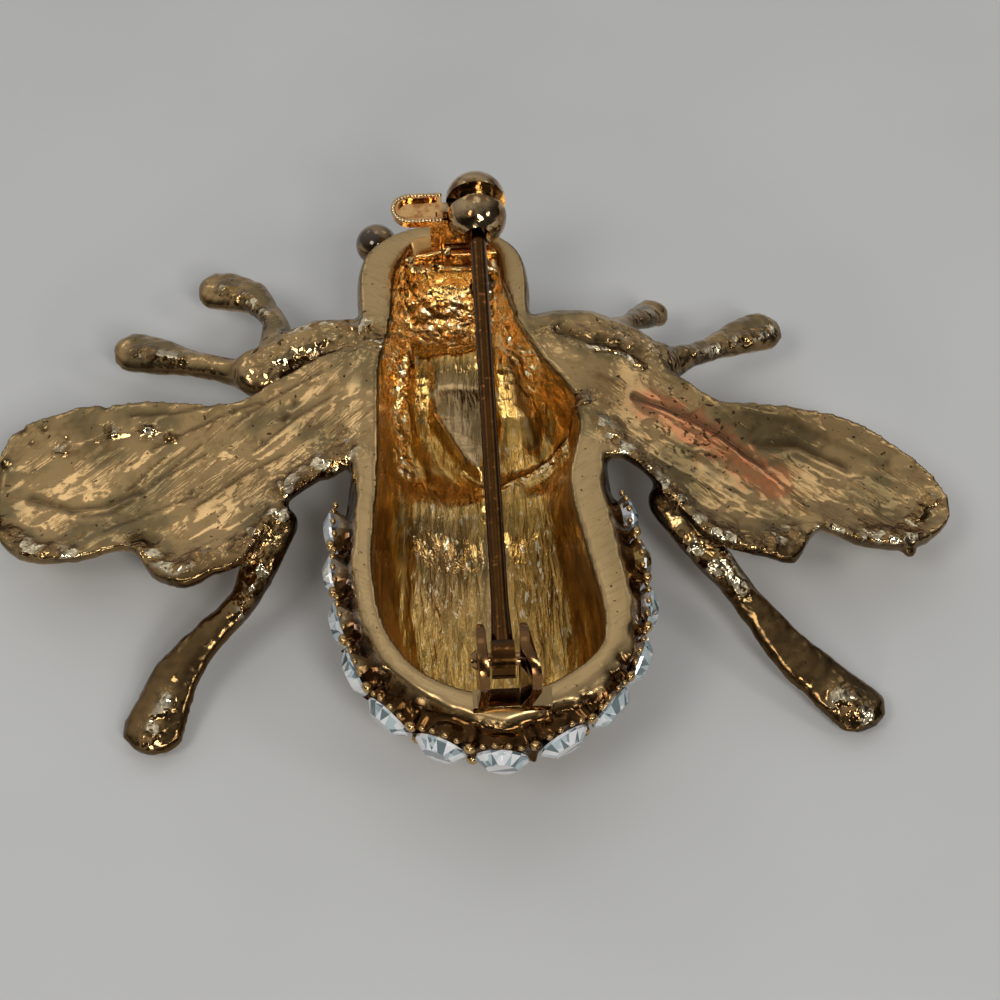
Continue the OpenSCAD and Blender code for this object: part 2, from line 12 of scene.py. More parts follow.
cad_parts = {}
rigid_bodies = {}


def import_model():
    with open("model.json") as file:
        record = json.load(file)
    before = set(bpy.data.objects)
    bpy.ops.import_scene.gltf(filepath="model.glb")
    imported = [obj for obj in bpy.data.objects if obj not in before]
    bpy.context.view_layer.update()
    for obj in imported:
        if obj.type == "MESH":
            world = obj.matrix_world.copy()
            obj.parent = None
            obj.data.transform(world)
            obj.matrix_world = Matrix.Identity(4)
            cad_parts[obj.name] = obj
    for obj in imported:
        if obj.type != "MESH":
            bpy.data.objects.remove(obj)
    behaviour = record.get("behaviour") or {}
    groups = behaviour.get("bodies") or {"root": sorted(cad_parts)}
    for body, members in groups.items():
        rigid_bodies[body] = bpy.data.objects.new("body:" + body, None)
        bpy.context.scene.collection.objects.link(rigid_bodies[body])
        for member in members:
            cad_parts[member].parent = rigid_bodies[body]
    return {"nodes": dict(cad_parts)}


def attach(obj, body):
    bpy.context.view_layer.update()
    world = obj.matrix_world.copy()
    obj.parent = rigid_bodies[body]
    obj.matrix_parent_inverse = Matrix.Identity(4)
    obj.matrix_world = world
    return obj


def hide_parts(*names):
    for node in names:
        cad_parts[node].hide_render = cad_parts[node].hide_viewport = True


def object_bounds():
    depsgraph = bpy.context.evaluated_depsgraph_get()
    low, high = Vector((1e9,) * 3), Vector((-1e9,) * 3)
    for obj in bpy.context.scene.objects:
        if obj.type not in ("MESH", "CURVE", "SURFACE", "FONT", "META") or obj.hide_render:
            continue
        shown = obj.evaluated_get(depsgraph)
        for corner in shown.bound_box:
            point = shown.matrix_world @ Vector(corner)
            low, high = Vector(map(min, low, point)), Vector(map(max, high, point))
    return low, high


bl_info = {
    "name": "Insect Brooch",
    "version": (1, 0, 0),
    "blender": (4, 5, 0),
    "location": "3D View > Sidebar > Brooch",
    "description": "Adds the brooch's cast skin, findings, stones and studio to its frame",
    "category": "Object",
}

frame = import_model()
CAD_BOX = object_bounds()
MM = 0.001

# Heights and places on the brooch, in millimetres
RIM_Z = 7.5
MIDDLE_X = 1.1
RIVET_Y = -15.25
CATCH_Y = 16.65
CAVITY_BACK = -15.45
CAVITY_LEN = 32.5
CAVITY_HALF = 6.2
# Middle of each hinge ear, sideways from the middle line
EAR_X = 1.1

# Open cavity in the back. Columns: share along from the tail, left and right as shares of its half width
CAVITY = [
    (0.000, 0.02, -0.02),
    (0.043, 0.64, 0.63),
    (0.091, 0.86, 0.87),
    (0.164, 1.01, 0.90),
    (0.262, 1.07, 0.82),
    (0.430, 1.01, 0.70),
    (0.567, 0.98, 0.85),
    (0.627, 0.97, 0.79),
    (0.704, 0.96, 0.56),
    (0.780, 0.87, 0.37),
    (0.856, 0.82, 0.26),
    (0.911, 0.79, 0.21),
    (0.951, 0.72, 0.20),
    (0.985, 0.61, 0.08),
    (1.000, 0.42, -0.26),
]

# Ridges and grooves in the metal. Columns: height, width, then the places it passes
STROKES = [
    (0.45, 0.55, (1.0, 0.4), (2.9, 1.9), (4.6, 2.9), (6.0, 3.4)),
    (0.35, 0.30, (-1.9, 6.6), (-1.2, 4.8), (-0.3, 3.3), (0.8, 1.4)),
    (0.28, 0.45, (-3.4, 11.5), (-3.6, 8.0), (-3.2, 5.0), (-2.2, 2.4)),
    (0.22, 0.35, (3.2, 10.5), (4.2, 8.2), (4.8, 6.2), (4.4, 4.4)),
    (-0.25, 0.40, (2.6, 9.6), (3.4, 7.4), (3.8, 5.4)),
    (-0.10, 0.22, (-24.8, 1.8), (-22.4, 0.5), (-20.5, 0.3), (-18.5, 1.2)),
    (-0.08, 0.16, (-21.7, -0.1), (-19.9, -0.1), (-18.8, 0.5)),
    (-0.06, 0.12, (-19.3, 1.3), (-17.4, 3.1)),
    (-0.06, 0.12, (-18.6, 0.9), (-16.4, 2.6)),
    (-0.06, 0.12, (-18.0, 1.3), (-15.1, 3.7)),
    (-0.05, 0.12, (-16.9, 1.9), (-14.8, 3.0)),
    (-0.06, 0.14, (-17.9, 4.0), (-14.0, 5.3), (-11.6, 5.9)),
    (-0.07, 0.14, (-19.2, 6.4), (-16.6, 6.0), (-14.3, 6.3)),
    (0.10, 0.20, (-24.9, 3.4), (-23.4, 4.6), (-20.5, 5.4), (-17.0, 5.2)),
    (-0.30, 0.30, (-19.0, -2.7), (-18.2, -2.2), (-17.6, -2.6)),
    (0.10, 0.45, (10.2, 4.1), (12.6, 3.1), (14.8, 1.6), (16.9, -0.3), (18.3, -2.2)),
    (-0.12, 0.22, (9.6, 4.6), (12.4, 3.8), (14.6, 2.5), (16.6, 0.8)),
    (-0.22, 0.30, (5.6, 9.6), (7.3, 8.6), (9.0, 8.5), (10.3, 7.7)),
    (0.12, 0.35, (15.8, 4.4), (18.4, 4.2), (21.2, 3.0), (23.6, 1.8)),
    (-0.10, 0.30, (16.4, 2.2), (18.8, 2.4), (21.4, 1.2)),
    (-0.05, 0.12, (-13.2, 4.6), (-10.4, 6.4), (-8.2, 7.4)),
    (-0.05, 0.12, (-12.0, 2.6), (-9.6, 4.4), (-7.6, 5.4)),
    (-0.05, 0.12, (-15.4, -0.6), (-12.8, 0.9), (-10.4, 1.9)),
    (-0.05, 0.12, (-20.4, -1.6), (-17.6, -0.5), (-15.2, 0.2)),
]

# Crumpled edges, bumped and painted with glints and with shade. Columns: width, then the places they
# pass
CRISP = [
    (0.55, (-26.6, 0.2), (-24.6, -2.2), (-22.3, -2.9)),
    (0.60, (-18.6, -2.8), (-17.3, -4.2), (-16.3, -5.1), (-14.8, -4.4)),
    (0.70, (-12.8, -4.1), (-9.4, -1.4), (-7.0, 0.2)),
    (0.90, (-10.2, -0.6), (-8.6, 0.6), (-6.9, 1.4)),
    (0.60, (7.6, 2.4), (9.0, 0.4), (11.4, -2.4)),
    (0.60, (13.0, -4.6), (15.5, -5.4), (17.6, -4.0)),
    (0.60, (19.5, -3.8), (22.0, -4.6), (24.6, -3.6)),
    (0.70, (11.5, -4.5), (13.0, -6.4)),
    (0.50, (1.6, 1.4), (3.2, 2.3), (5.2, 3.2), (6.6, 4.2)),
    (0.50, (-3.6, 9.6), (-4.2, 6.4), (-3.6, 3.2)),
    (0.80, (19.6, -13.0), (20.6, -13.8)),
    (0.60, (12.5, -3.9), (13.6, -5.4), (14.6, -7.0)),
    (0.60, (-11.4, -4.4), (-12.0, -5.6), (-12.6, -7.1)),
    (0.50, (-17.0, -11.4), (-17.9, -13.4)),
    (0.50, (-14.1, 17.4), (-12.8, 15.8), (-11.7, 13.9)),
    (0.45, (-19.3, 12.5), (-16.5, 11.1)),
    (0.45, (11.3, 13.7), (10.6, 12.2)),
    (0.45, (18.4, 12.5), (16.4, 11.1), (13.9, 9.2)),
    (0.65, (-10.0, 11.3), (-7.6, 11.6), (-5.6, 10.3), (-4.5, 8.9)),
    (0.50, (22.1, -3.5), (23.8, -3.7), (26.1, -0.7)),
    (0.32, (-20.5, 5.7), (-20.2, 5.6)),
    (0.32, (-18.5, 5.4), (-18.0, 5.2)),
    (0.32, (-17.0, 4.6), (-16.6, 4.5)),
    (0.32, (-23.4, 5.0), (-23.0, 5.0)),
    (0.32, (7.3, 8.2), (9.0, 8.0), (10.1, 7.1)),
]

# Folds from the neck down both sides of the thorax. Columns: width, then the places they pass
NECK_FOLDS = [
    (0.9, (2.0, 14.0), (3.1, 10.6), (4.2, 8.2)),
    (0.9, (-3.3, 14.0), (-3.8, 11.0), (-4.3, 8.6)),
]

# Crumpled roots of the front legs. Columns: width, then the places they pass
SHOULDERS = [
    (1.5, (-11.5, 8.8), (-8.0, 9.6), (-4.4, 9.2)),
    (1.3, (11.8, 8.2), (8.4, 9.2), (5.0, 9.4)),
]

# Band of copper on the right wing: width, then the places it passes
COPPER_BAND = (1.25, (10.6, 4.2), (12.8, 2.9), (14.8, 1.5), (16.9, -0.3))

# Flat panel in the floor of the thorax, and its height
PANEL = ((-2.1, 11.8), (1.9, 11.4), (2.3, 7.0), (1.0, 2.2), (-0.6, 3.8), (-2.3, 7.5))
PANEL_Z = 2.7

# Painted dark reflections: darker clouds on the wings. Columns: middle, half width, half depth, share
DARK_REFLECTION_CLOUDS = [
    (8.0, 4.6, 2.6, 2.0, 0.40),
    (18.2, 3.4, 3.4, 1.3, 0.35),
    (-12.6, 0.4, 2.8, 1.3, 0.40),
    (-8.2, 4.2, 2.0, 2.2, 0.22),
    (-21.0, 4.8, 1.8, 0.9, 0.30),
]

# Patches of the hollow and of the right wing. Columns: middle, half width, half depth
WRINKLED = (-1.7, -3.0, 1.9, 4.2)
SPECKLED = (3.6, -4.5, 1.8, 5.0)
PITTED = (12.5, 2.5, 3.2, 3.2)

# Dark pits in the metal. Columns: place, size
PITS = [
    (-25.6, 6.5, 0.32), (-20.7, 7.4, 0.24), (-24.3, 6.4, 0.22), (-26.4, 4.3, 0.20),
    (-25.0, 5.6, 0.16), (-23.0, 5.6, 0.14), (-13.2, 5.6, 0.18), (-12.4, 5.2, 0.14),
    (-10.3, 4.6, 0.30), (-9.8, 5.6, 0.16), (-11.6, 3.2, 0.14), (-15.6, 0.5, 0.18),
]
PIT_DEPTH = 0.18

# Most that the relief moves a point, and how far the skin stays inside the brooch's box
MOST_RISE = 0.45
BOX_GAP = 0.02

# Most triangles that the skin keeps
SKIN_TRIANGLES = 190000

# Points closer than this are one, in metres: in a CAD node, and after its edges are rounded
SAME_POINT = 1e-6
SAME_CORNER = 4e-6

# A stone's girdle: radius, height and sides. Heights of its crown and point
STONE_RADIUS = 1.4
STONE_GIRDLE = 0.15
STONE_SIDES = 16
STONE_CROWN = 0.5
STONE_POINT = 1.0
# Width of the table and of the blunt point, as shares of the girdle
STONE_TABLE = 0.6
STONE_TIP = 0.12
# Direction along which no two of a stone's corners or facets lie level
STONE_SKEW = (1.0, 0.283, 0.117)
# Stones farther right than this lie in shade and shine less
SHADE_X = 6.0
SHADE_SHINE = 0.55

# Claws between the stones: size, drop below the tables, distance to each side of the stones' line
CLAW_SIZE = 0.34
CLAW_DROP = 0.50
CLAW_SIDE = 0.96
# Beads on a cup's edge: size, drop below the table, distance from the stone's middle, turns in degrees
CUP_BEAD = 0.19
CUP_DROP = 0.82
CUP_OUT = 1.58
CUP_TURNS = (-38, -13, 13, 38)

# Thumb lever: ends along X, half width, height of its upper face, number and size of its beads
LEVER_X = (-1.0, -3.75)
LEVER_HALF = 1.02
LEVER_TOP = 10.44
LEVER_BEADS = 34
LEVER_BEAD = 0.16

# Tones of the cast plating, beside those in the settings; most of these are painted light and shade
# Painted glints on crumpled metal and on the hollow's ripples
PAINTED_GLINT_GOLD = (0.98, 0.82, 0.54)
# Painted light on the hollow's crumpled metal, most at the neck
PAINTED_LIGHT_GOLD = (1.0, 0.66, 0.26)
# Painted reflection of the dim room on the hollow's flat panel, strip and wrinkles
CALM_REFLECTION_GOLD = (0.50, 0.345, 0.17)
CALM_REFLECTION_BROWN = (0.30, 0.20, 0.09)
# Painted shade in the creases of crumpled metal outside the hollow
CRUMPLE_SHADE = (0.34, 0.20, 0.075)
# Painted shade on the flank and legs, and painted dark reflections on the wings
SHADE_BROWN = (0.095, 0.045, 0.014)

# Tones of the findings, beads and foils
HINGE_BRONZE = (0.26, 0.13, 0.05)
HINGE_WEAR = (0.42, 0.2, 0.1)
CRADLE_GOLD = (0.80, 0.44, 0.15)
CLAW_GOLD = (0.62, 0.40, 0.17)
PIN_WEAR = (0.36, 0.13, 0.05)
RIVET_BRONZE = (0.40, 0.23, 0.10)
LEVER_EDGE = (0.90, 0.66, 0.36)
LEVER_GOLD = (0.95, 0.55, 0.22)
LEVER_COPPER = (0.60, 0.26, 0.09)
BALL_GOLD = (0.60, 0.42, 0.22)
BALL_BROWN = (0.22, 0.12, 0.05)
EYE_AMBER = (0.27, 0.165, 0.06)
SILVER_FOIL = (0.96, 0.97, 1.0)
AMBER_FOIL = (0.55, 0.36, 0.12)

# Place that the camera and lights are aimed at, and the camera's lens and sensor, in millimetres
TARGET = (1.55, -2.8475, RIM_Z)
LENS = 95.5
SENSOR = 36

# Width of the floor in metres, and how far it lies under the brooch in millimetres
FLOOR_WIDTH = 1.6
FLOOR_GAP = 0.02

# Direction in which the room is brightest, and its tones from the darkest side to the brightest
ROOM_BRIGHT = (-0.30, 0.60, 0.74)
ROOM_TONES = ((0.15, (0.07, 0.07, 0.075, 1)), (0.95, (0.97, 0.985, 1.0, 1)))

# Lights. Columns: name, azimuth and elevation in degrees, distance and width in metres, watts, warmth
LIGHTS = [
    ("key", -46, 52, 0.55, 0.17, 0.52, 0.2),
    ("front", 15, 48, 0.60, 0.10, 0.55, 0.1),
    ("side", 62, 40, 0.60, 0.10, 0.25, 0.1),
    ("spark", 22, 38, 0.50, 0.08, 0.35, 0.0),
    ("near", -8, 12, 0.60, 0.08, 0.50, 0.3),
    ("back_left", -145, 32, 0.60, 0.13, 0.05, 0.0),
    ("back_right", 140, 35, 0.60, 0.15, 0.05, 0.0),
    ("back", 180, 62, 0.60, 0.17, 0.045, 0.0),
]


# Settings

# What all colour settings have in common
TONE = {"subtype": "COLOR", "min": 0, "max": 1}


class BroochMetal(bpy.types.PropertyGroup):
    """Colours and grain of the gold plating."""

    gold: bpy.props.FloatVectorProperty(
        name="Gold", description="Plating on the wings and legs",
        default=(0.56, 0.365, 0.16), **TONE)
    rim: bpy.props.FloatVectorProperty(
        name="Rim", description="Flat ground metal round the open back",
        default=(0.56, 0.38, 0.175), **TONE)
    hollow: bpy.props.FloatVectorProperty(
        name="Hollow", description="Deeper gold inside the open back",
        default=(0.70, 0.42, 0.115), **TONE)
    copper: bpy.props.FloatVectorProperty(
        name="Copper", description="Copper showing through on the right wing",
        default=(0.60, 0.235, 0.10), **TONE)
    # Dark metal in pits and grooves, also painted shade on the skin's steep sides
    tarnish_and_shade: bpy.props.FloatVectorProperty(
        name="Tarnish", description="Dark metal in pits and grooves",
        default=(0.07, 0.038, 0.015), **TONE)
    pin: bpy.props.FloatVectorProperty(
        name="Pin", description="Dull bronze of the pin",
        default=(0.10, 0.043, 0.011), **TONE)


class BroochRelief(bpy.types.PropertyGroup):
    """Sizes of the cast surface's wrinkles and lumps."""

    skin_step: bpy.props.FloatProperty(
        name="Skin step", description="Size of the cells that the cast skin is made of",
        default=0.18 * MM, unit="LENGTH", min=0.12 * MM, max=0.4 * MM, precision=5)
    wrinkle: bpy.props.FloatProperty(
        name="Wrinkles", description="Height of the lengthwise wrinkles in the open back",
        default=0.13 * MM, unit="LENGTH", min=0, max=0.3 * MM, precision=5)
    crumple: bpy.props.FloatProperty(
        name="Crumple", description="Height of the crumpled metal at the neck and on the legs",
        default=0.22 * MM, unit="LENGTH", min=0, max=0.4 * MM, precision=5)


class BroochStones(bpy.types.PropertyGroup):
    """Cut and colours of the stones."""

    clear: bpy.props.FloatVectorProperty(
        name="Clear", description="Glass of the rhinestones",
        default=(0.80, 0.96, 1.0), **TONE)
    amber: bpy.props.FloatVectorProperty(
        name="Amber", description="Darker stone on the right flank",
        default=(0.42, 0.25, 0.06), **TONE)
    index: bpy.props.FloatProperty(
        name="Index", description="Refractive index of the stones",
        default=1.58, min=1.3, max=2.5)


class BroochStage(bpy.types.PropertyGroup):
    """Floor, light and camera."""

    floor: bpy.props.FloatVectorProperty(
        name="Floor", description="Colour of the plain floor",
        default=(0.66, 0.66, 0.645), **TONE)
    room: bpy.props.FloatProperty(
        name="Room", description="Brightness of the room round the brooch",
        default=0.50, min=0, max=2)
    azimuth: bpy.props.FloatProperty(
        name="Azimuth", description="Camera's heading round the brooch",
        default=math.radians(-2.8), subtype="ANGLE")
    elevation: bpy.props.FloatProperty(
        name="Elevation", description="Camera's height above the floor as an angle",
        default=math.radians(52), subtype="ANGLE")
    distance: bpy.props.FloatProperty(
        name="Distance", description="Camera's distance from the brooch",
        default=145 * MM, unit="LENGTH", precision=4)


# Shared ways of working


def clear_selection():
    """Object mode with nothing selected."""
    if bpy.context.object and bpy.context.object.mode != "OBJECT":
        bpy.ops.object.mode_set(mode="OBJECT")
    bpy.ops.object.select_all(action="DESELECT")


def only(piece):
    """Makes one piece the selected and active one."""
    clear_selection()
    piece.select_set(True)
    bpy.context.view_layer.objects.active = piece


@contextmanager
def editing(piece, selection="SELECT"):
    """Edit mode on one piece, with all or nothing selected, or as it was where selection is None."""
    only(piece)
    bpy.ops.object.mode_set(mode="EDIT")
    if selection:
        bpy.ops.mesh.select_all(action=selection)
    yield
    bpy.ops.object.mode_set(mode="OBJECT")


def shaped(piece, kind, **values):
    """Applies a modifier with the given values."""
    only(piece)
    step = piece.modifiers.new(kind.lower(), kind)
    for key, value in values.items():
        setattr(step, key, value)
    bpy.ops.object.modifier_apply(modifier=step.name)


def named(name):
    """The object an operator has just added, renamed."""
    piece = bpy.context.object
    piece.name = name
    piece.data.name = name
    return piece


def copy_of_node(node, name):
    """A new piece with a CAD node's shape and one skin of joined faces."""
    piece = bpy.data.objects.new(name, frame["nodes"][node].data.copy())
    piece.data.name = name
    piece.data.materials.clear()
    bpy.context.collection.objects.link(piece)
    with editing(piece):
        bpy.ops.mesh.remove_doubles(threshold=SAME_POINT)
    return piece


def trim(piece, at, normal):
    """Cuts away what lies on the normal's side of a plane and closes the cut."""
    with editing(piece):
        bpy.ops.mesh.bisect(
            plane_co=[c * MM for c in at], plane_no=normal, use_fill=True, clear_outer=True,
            threshold=1e-8)


def merge_flat(piece):
    """Joins the faces that lie in one plane."""
    with editing(piece):
        bpy.ops.mesh.dissolve_limited(angle_limit=math.radians(2))


def bevel(piece, width, angle=30):
    """Rounds the edges that are sharper than an angle."""
    shaped(
        piece, "BEVEL", width=width * MM, segments=3, limit_method="ANGLE",
        angle_limit=math.radians(angle))
    with editing(piece):
        bpy.ops.mesh.remove_doubles(threshold=SAME_CORNER)
        bpy.ops.mesh.dissolve_degenerate(threshold=SAME_CORNER / 2)


def drop_crumbs(piece):
    """Keeps only what hangs together with the piece's farthest point along X."""
    with editing(piece, "DESELECT"):
        at, _ = points_of(piece)
    piece.data.vertices[int(np.argmax(at[:, 0]))].select = True
    with editing(piece, None):
        bpy.ops.mesh.select_linked()
        bpy.ops.mesh.select_all(action="INVERT")
        bpy.ops.mesh.delete(type="VERT")


def freeze(piece):
    """Puts a piece's place into its mesh."""
    only(piece)
    bpy.ops.object.transform_apply(location=True, rotation=True, scale=True)


def turned_copy(piece, at, axis, scale=(1, 1, 1)):
    """A copy of a piece, stretched, with its Z axis turned to an axis, at a place in metres."""
    copy = piece.copy()
    copy.data = piece.data.copy()
    bpy.context.collection.objects.link(copy)
    turn = axis.to_track_quat("Z", "Y").to_matrix().to_4x4()
    copy.data.transform(Matrix.Translation(at) @ turn @ Matrix.Diagonal((*scale, 1)))
    return copy


def join(pieces, name):
    """One piece out of several."""
    clear_selection()
    for piece in pieces:
        piece.select_set(True)
    bpy.context.view_layer.objects.active = pieces[0]
    bpy.ops.object.join()
    return named(name)


def smooth(piece, angle=40):
    """Smooth shading up to an angle."""
    only(piece)
    bpy.ops.object.shade_smooth_by_angle(angle=math.radians(angle))


def points_of(piece):
    """Vertices in millimetres, and their normals."""
    mesh = piece.data
    count = len(mesh.vertices)
    at = np.empty(count * 3)
    facing = np.empty(count * 3)
    mesh.vertices.foreach_get("co", at)
    mesh.vertices.foreach_get("normal", facing)
    return at.reshape(-1, 3) / MM, facing.reshape(-1, 3)


def place_points(piece, at):
    """Writes vertices back, from millimetres."""
    piece.data.vertices.foreach_set("co", (at * MM).ravel())
    piece.data.update()


def fade(value, low, high):
    """Smooth step from 0 at low to 1 at high."""
    t = np.clip((value - low) / (high - low), 0, 1)
    return t * t * (3 - 2 * t)


def near_line(at, line):
    """Distance in plan from points to a line of places."""
    best = np.full(len(at), 1e9)
    for a, b in zip(line[:-1], line[1:]):
        a, b = np.array(a), np.array(b)
        along = b - a
        if not along.any():
            continue
        t = np.clip(((at[:, :2] - a) @ along) / (along @ along), 0, 1)
        best = np.minimum(best, np.linalg.norm(at[:, :2] - a - t[:, None] * along, axis=1))
    return best


def ridge(at, width, *line):
    """1 on a line of places, falling off to each side over a width."""
    return np.exp(-(near_line(at, line) / width) ** 2)


def ridges(at, rows):
    """The highest of the ridges in a table."""
    return highest(*(ridge(at, *row) for row in rows))


def highest(*fields):
    """The greatest of several fields at each point."""
    return np.maximum.reduce(fields)


def ellipse(at, x, y, wide, deep):
    """1 at a place in plan, falling off over a half width and a half depth."""
    return np.exp(-((at[:, 0] - x) / wide) ** 2 - ((at[:, 1] - y) / deep) ** 2)


def within(at, outline):
    """1 well inside a convex clockwise outline, fading to 0 at its edge."""
    depth = np.full(len(at), 1e9)
    for a, b in zip(outline, outline[1:] + outline[:1]):
        along = np.subtract(b, a)
        side = np.cross(along / np.linalg.norm(along), at[:, :2] - a)
        depth = np.minimum(depth, -side)
    return fade(depth, 0.0, 0.6)


def lumps(at, scale, octaves=2, seed=0.0):
    """Smooth random field between about -1 and 1. scale is in lumps a millimetre along x, y, z."""
    scaled = at * np.array(scale) + seed
    return np.array([noise.fractal(Vector(p), 0.9, 2.1, octaves) for p in scaled])


# Materials


def darker(colour, *shares):
    """A colour times one share, or times one for each of its channels."""
    return [c * k for c, k in zip(colour, shares if len(shares) == 3 else shares * 3)]


class Shader:
    """A new material's nodes, with short ways to add and join them. Places are in millimetres."""

    def __init__(self, name):
        self.material = bpy.data.materials.new(name)
        self.material.use_nodes = True
        self.nodes = self.material.node_tree.nodes
        self.links = self.material.node_tree.links
        self.surface = self.nodes["Principled BSDF"]
        place = self.add("TexCoord").outputs["Object"]
        self.mm = self.add("VectorMath", "SCALE", Vector=place, Scale=1 / MM).outputs[0]

    def put(self, value, socket):
        """Links an output to a socket, or sets the socket's number, vector or colour."""
        if isinstance(value, bpy.types.NodeSocket):
            self.links.new(value, socket)
        elif socket.type == "RGBA":
            socket.default_value = (*value, 1)
        else:
            socket.default_value = value

    def add(self, kind, operation=None, **values):
        """A new node with values or links on its named sockets."""
        node = self.nodes.new("ShaderNode" + kind)
        if operation:
            node.operation = operation
        for key, value in values.items():
            self.put(value, node.inputs[key.replace("_", " ")])
        return node

    def set(self, **values):
        """Sets or links the surface's own sockets."""
        for key, value in values.items():
            self.put(value, self.surface.inputs[key.replace("_", " ")])

    def parts(self, value, kind="SeparateXYZ"):
        """The three parts of a place or a colour."""
        node = self.add(kind)
        self.links.new(value, node.inputs[0])
        return node.outputs

    def stretched(self, scale, place=None):
        """Places stretched along X, Y and Z."""
        return self.add("Mapping", Vector=place or self.mm, Scale=scale).outputs[0]

    def mirrored(self, turn, scale):
        """Places mirrored left to right, turned in plan and stretched."""
        x, y, z = self.parts(self.mm)
        both = self.add("CombineXYZ", X=self.math("ABSOLUTE", x, 0.0), Y=y, Z=z)
        spun = self.add("Mapping", Vector=both.outputs[0], Rotation=(0, 0, math.radians(turn)))
        return self.stretched(scale, spun.outputs[0])

    def grain(self, scale, detail, place=None, warp=0.0):
        """Noise, finer at a larger scale."""
        node = self.add(
            "TexNoise", Vector=place or self.mm, Scale=scale, Detail=detail, Roughness=0.55,
            Distortion=warp)
        return node.outputs["Fac"]

    def cells(self, scale):
        """Crumpled cells: distance from each cell's middle, and a random tone for the cell."""
        push = self.add("TexNoise", Vector=self.mm, Scale=scale * 0.8)
        bent = self.add("VectorMath", "ADD", Vector=self.mm)
        self.links.new(push.outputs["Color"], bent.inputs[1])
        node = self.add("TexVoronoi", Vector=bent.outputs[0], Scale=scale)
        return node.outputs["Distance"], self.parts(node.outputs["Color"], "SeparateColor")[0]

    def ramp(self, value, low, high, start=0.0, end=1.0):
        """Smooth step from start where the value is low to end where it is high."""
        node = self.add(
            "MapRange", Value=value, From_Min=low, From_Max=high, To_Min=start, To_Max=end)
        node.interpolation_type = "SMOOTHSTEP"
        return node.outputs["Result"]

    def math(self, kind, a, b):
        """A sum, difference or other result of two numbers or outputs."""
        node = self.add("Math", kind)
        self.put(a, node.inputs[0])
        self.put(b, node.inputs[1])
        return node.outputs[0]

    def times(self, first, *others):
        """Product of numbers or outputs."""
        for other in others:
            first = self.math("MULTIPLY", first, other)
        return first

    def blend(self, share, a, b):
        """Colour a where the share is 0, b where it is 1."""
        node = self.add("Mix")
        node.data_type = "RGBA"
        for k, value in ((0, share), (6, a), (7, b)):
            self.put(value, node.inputs[k])
        return node.outputs[2]

    def masks(self, name):
        """The four masks painted on the skin under a name."""
        node = self.add("Attribute")
        node.attribute_name = name
        return (*self.parts(node.outputs["Color"], "SeparateColor"), node.outputs["Alpha"])

    def bump(self, *layers):
        """Raises the surface by (height, strength, distance in millimetres) layers."""
        last = None
        for height, strength, distance in layers:
            node = self.add("Bump", Height=height, Strength=strength, Distance=distance * MM)
            if last:
                self.links.new(last, node.inputs["Normal"])
            last = node.outputs["Normal"]
        self.set(Normal=last)


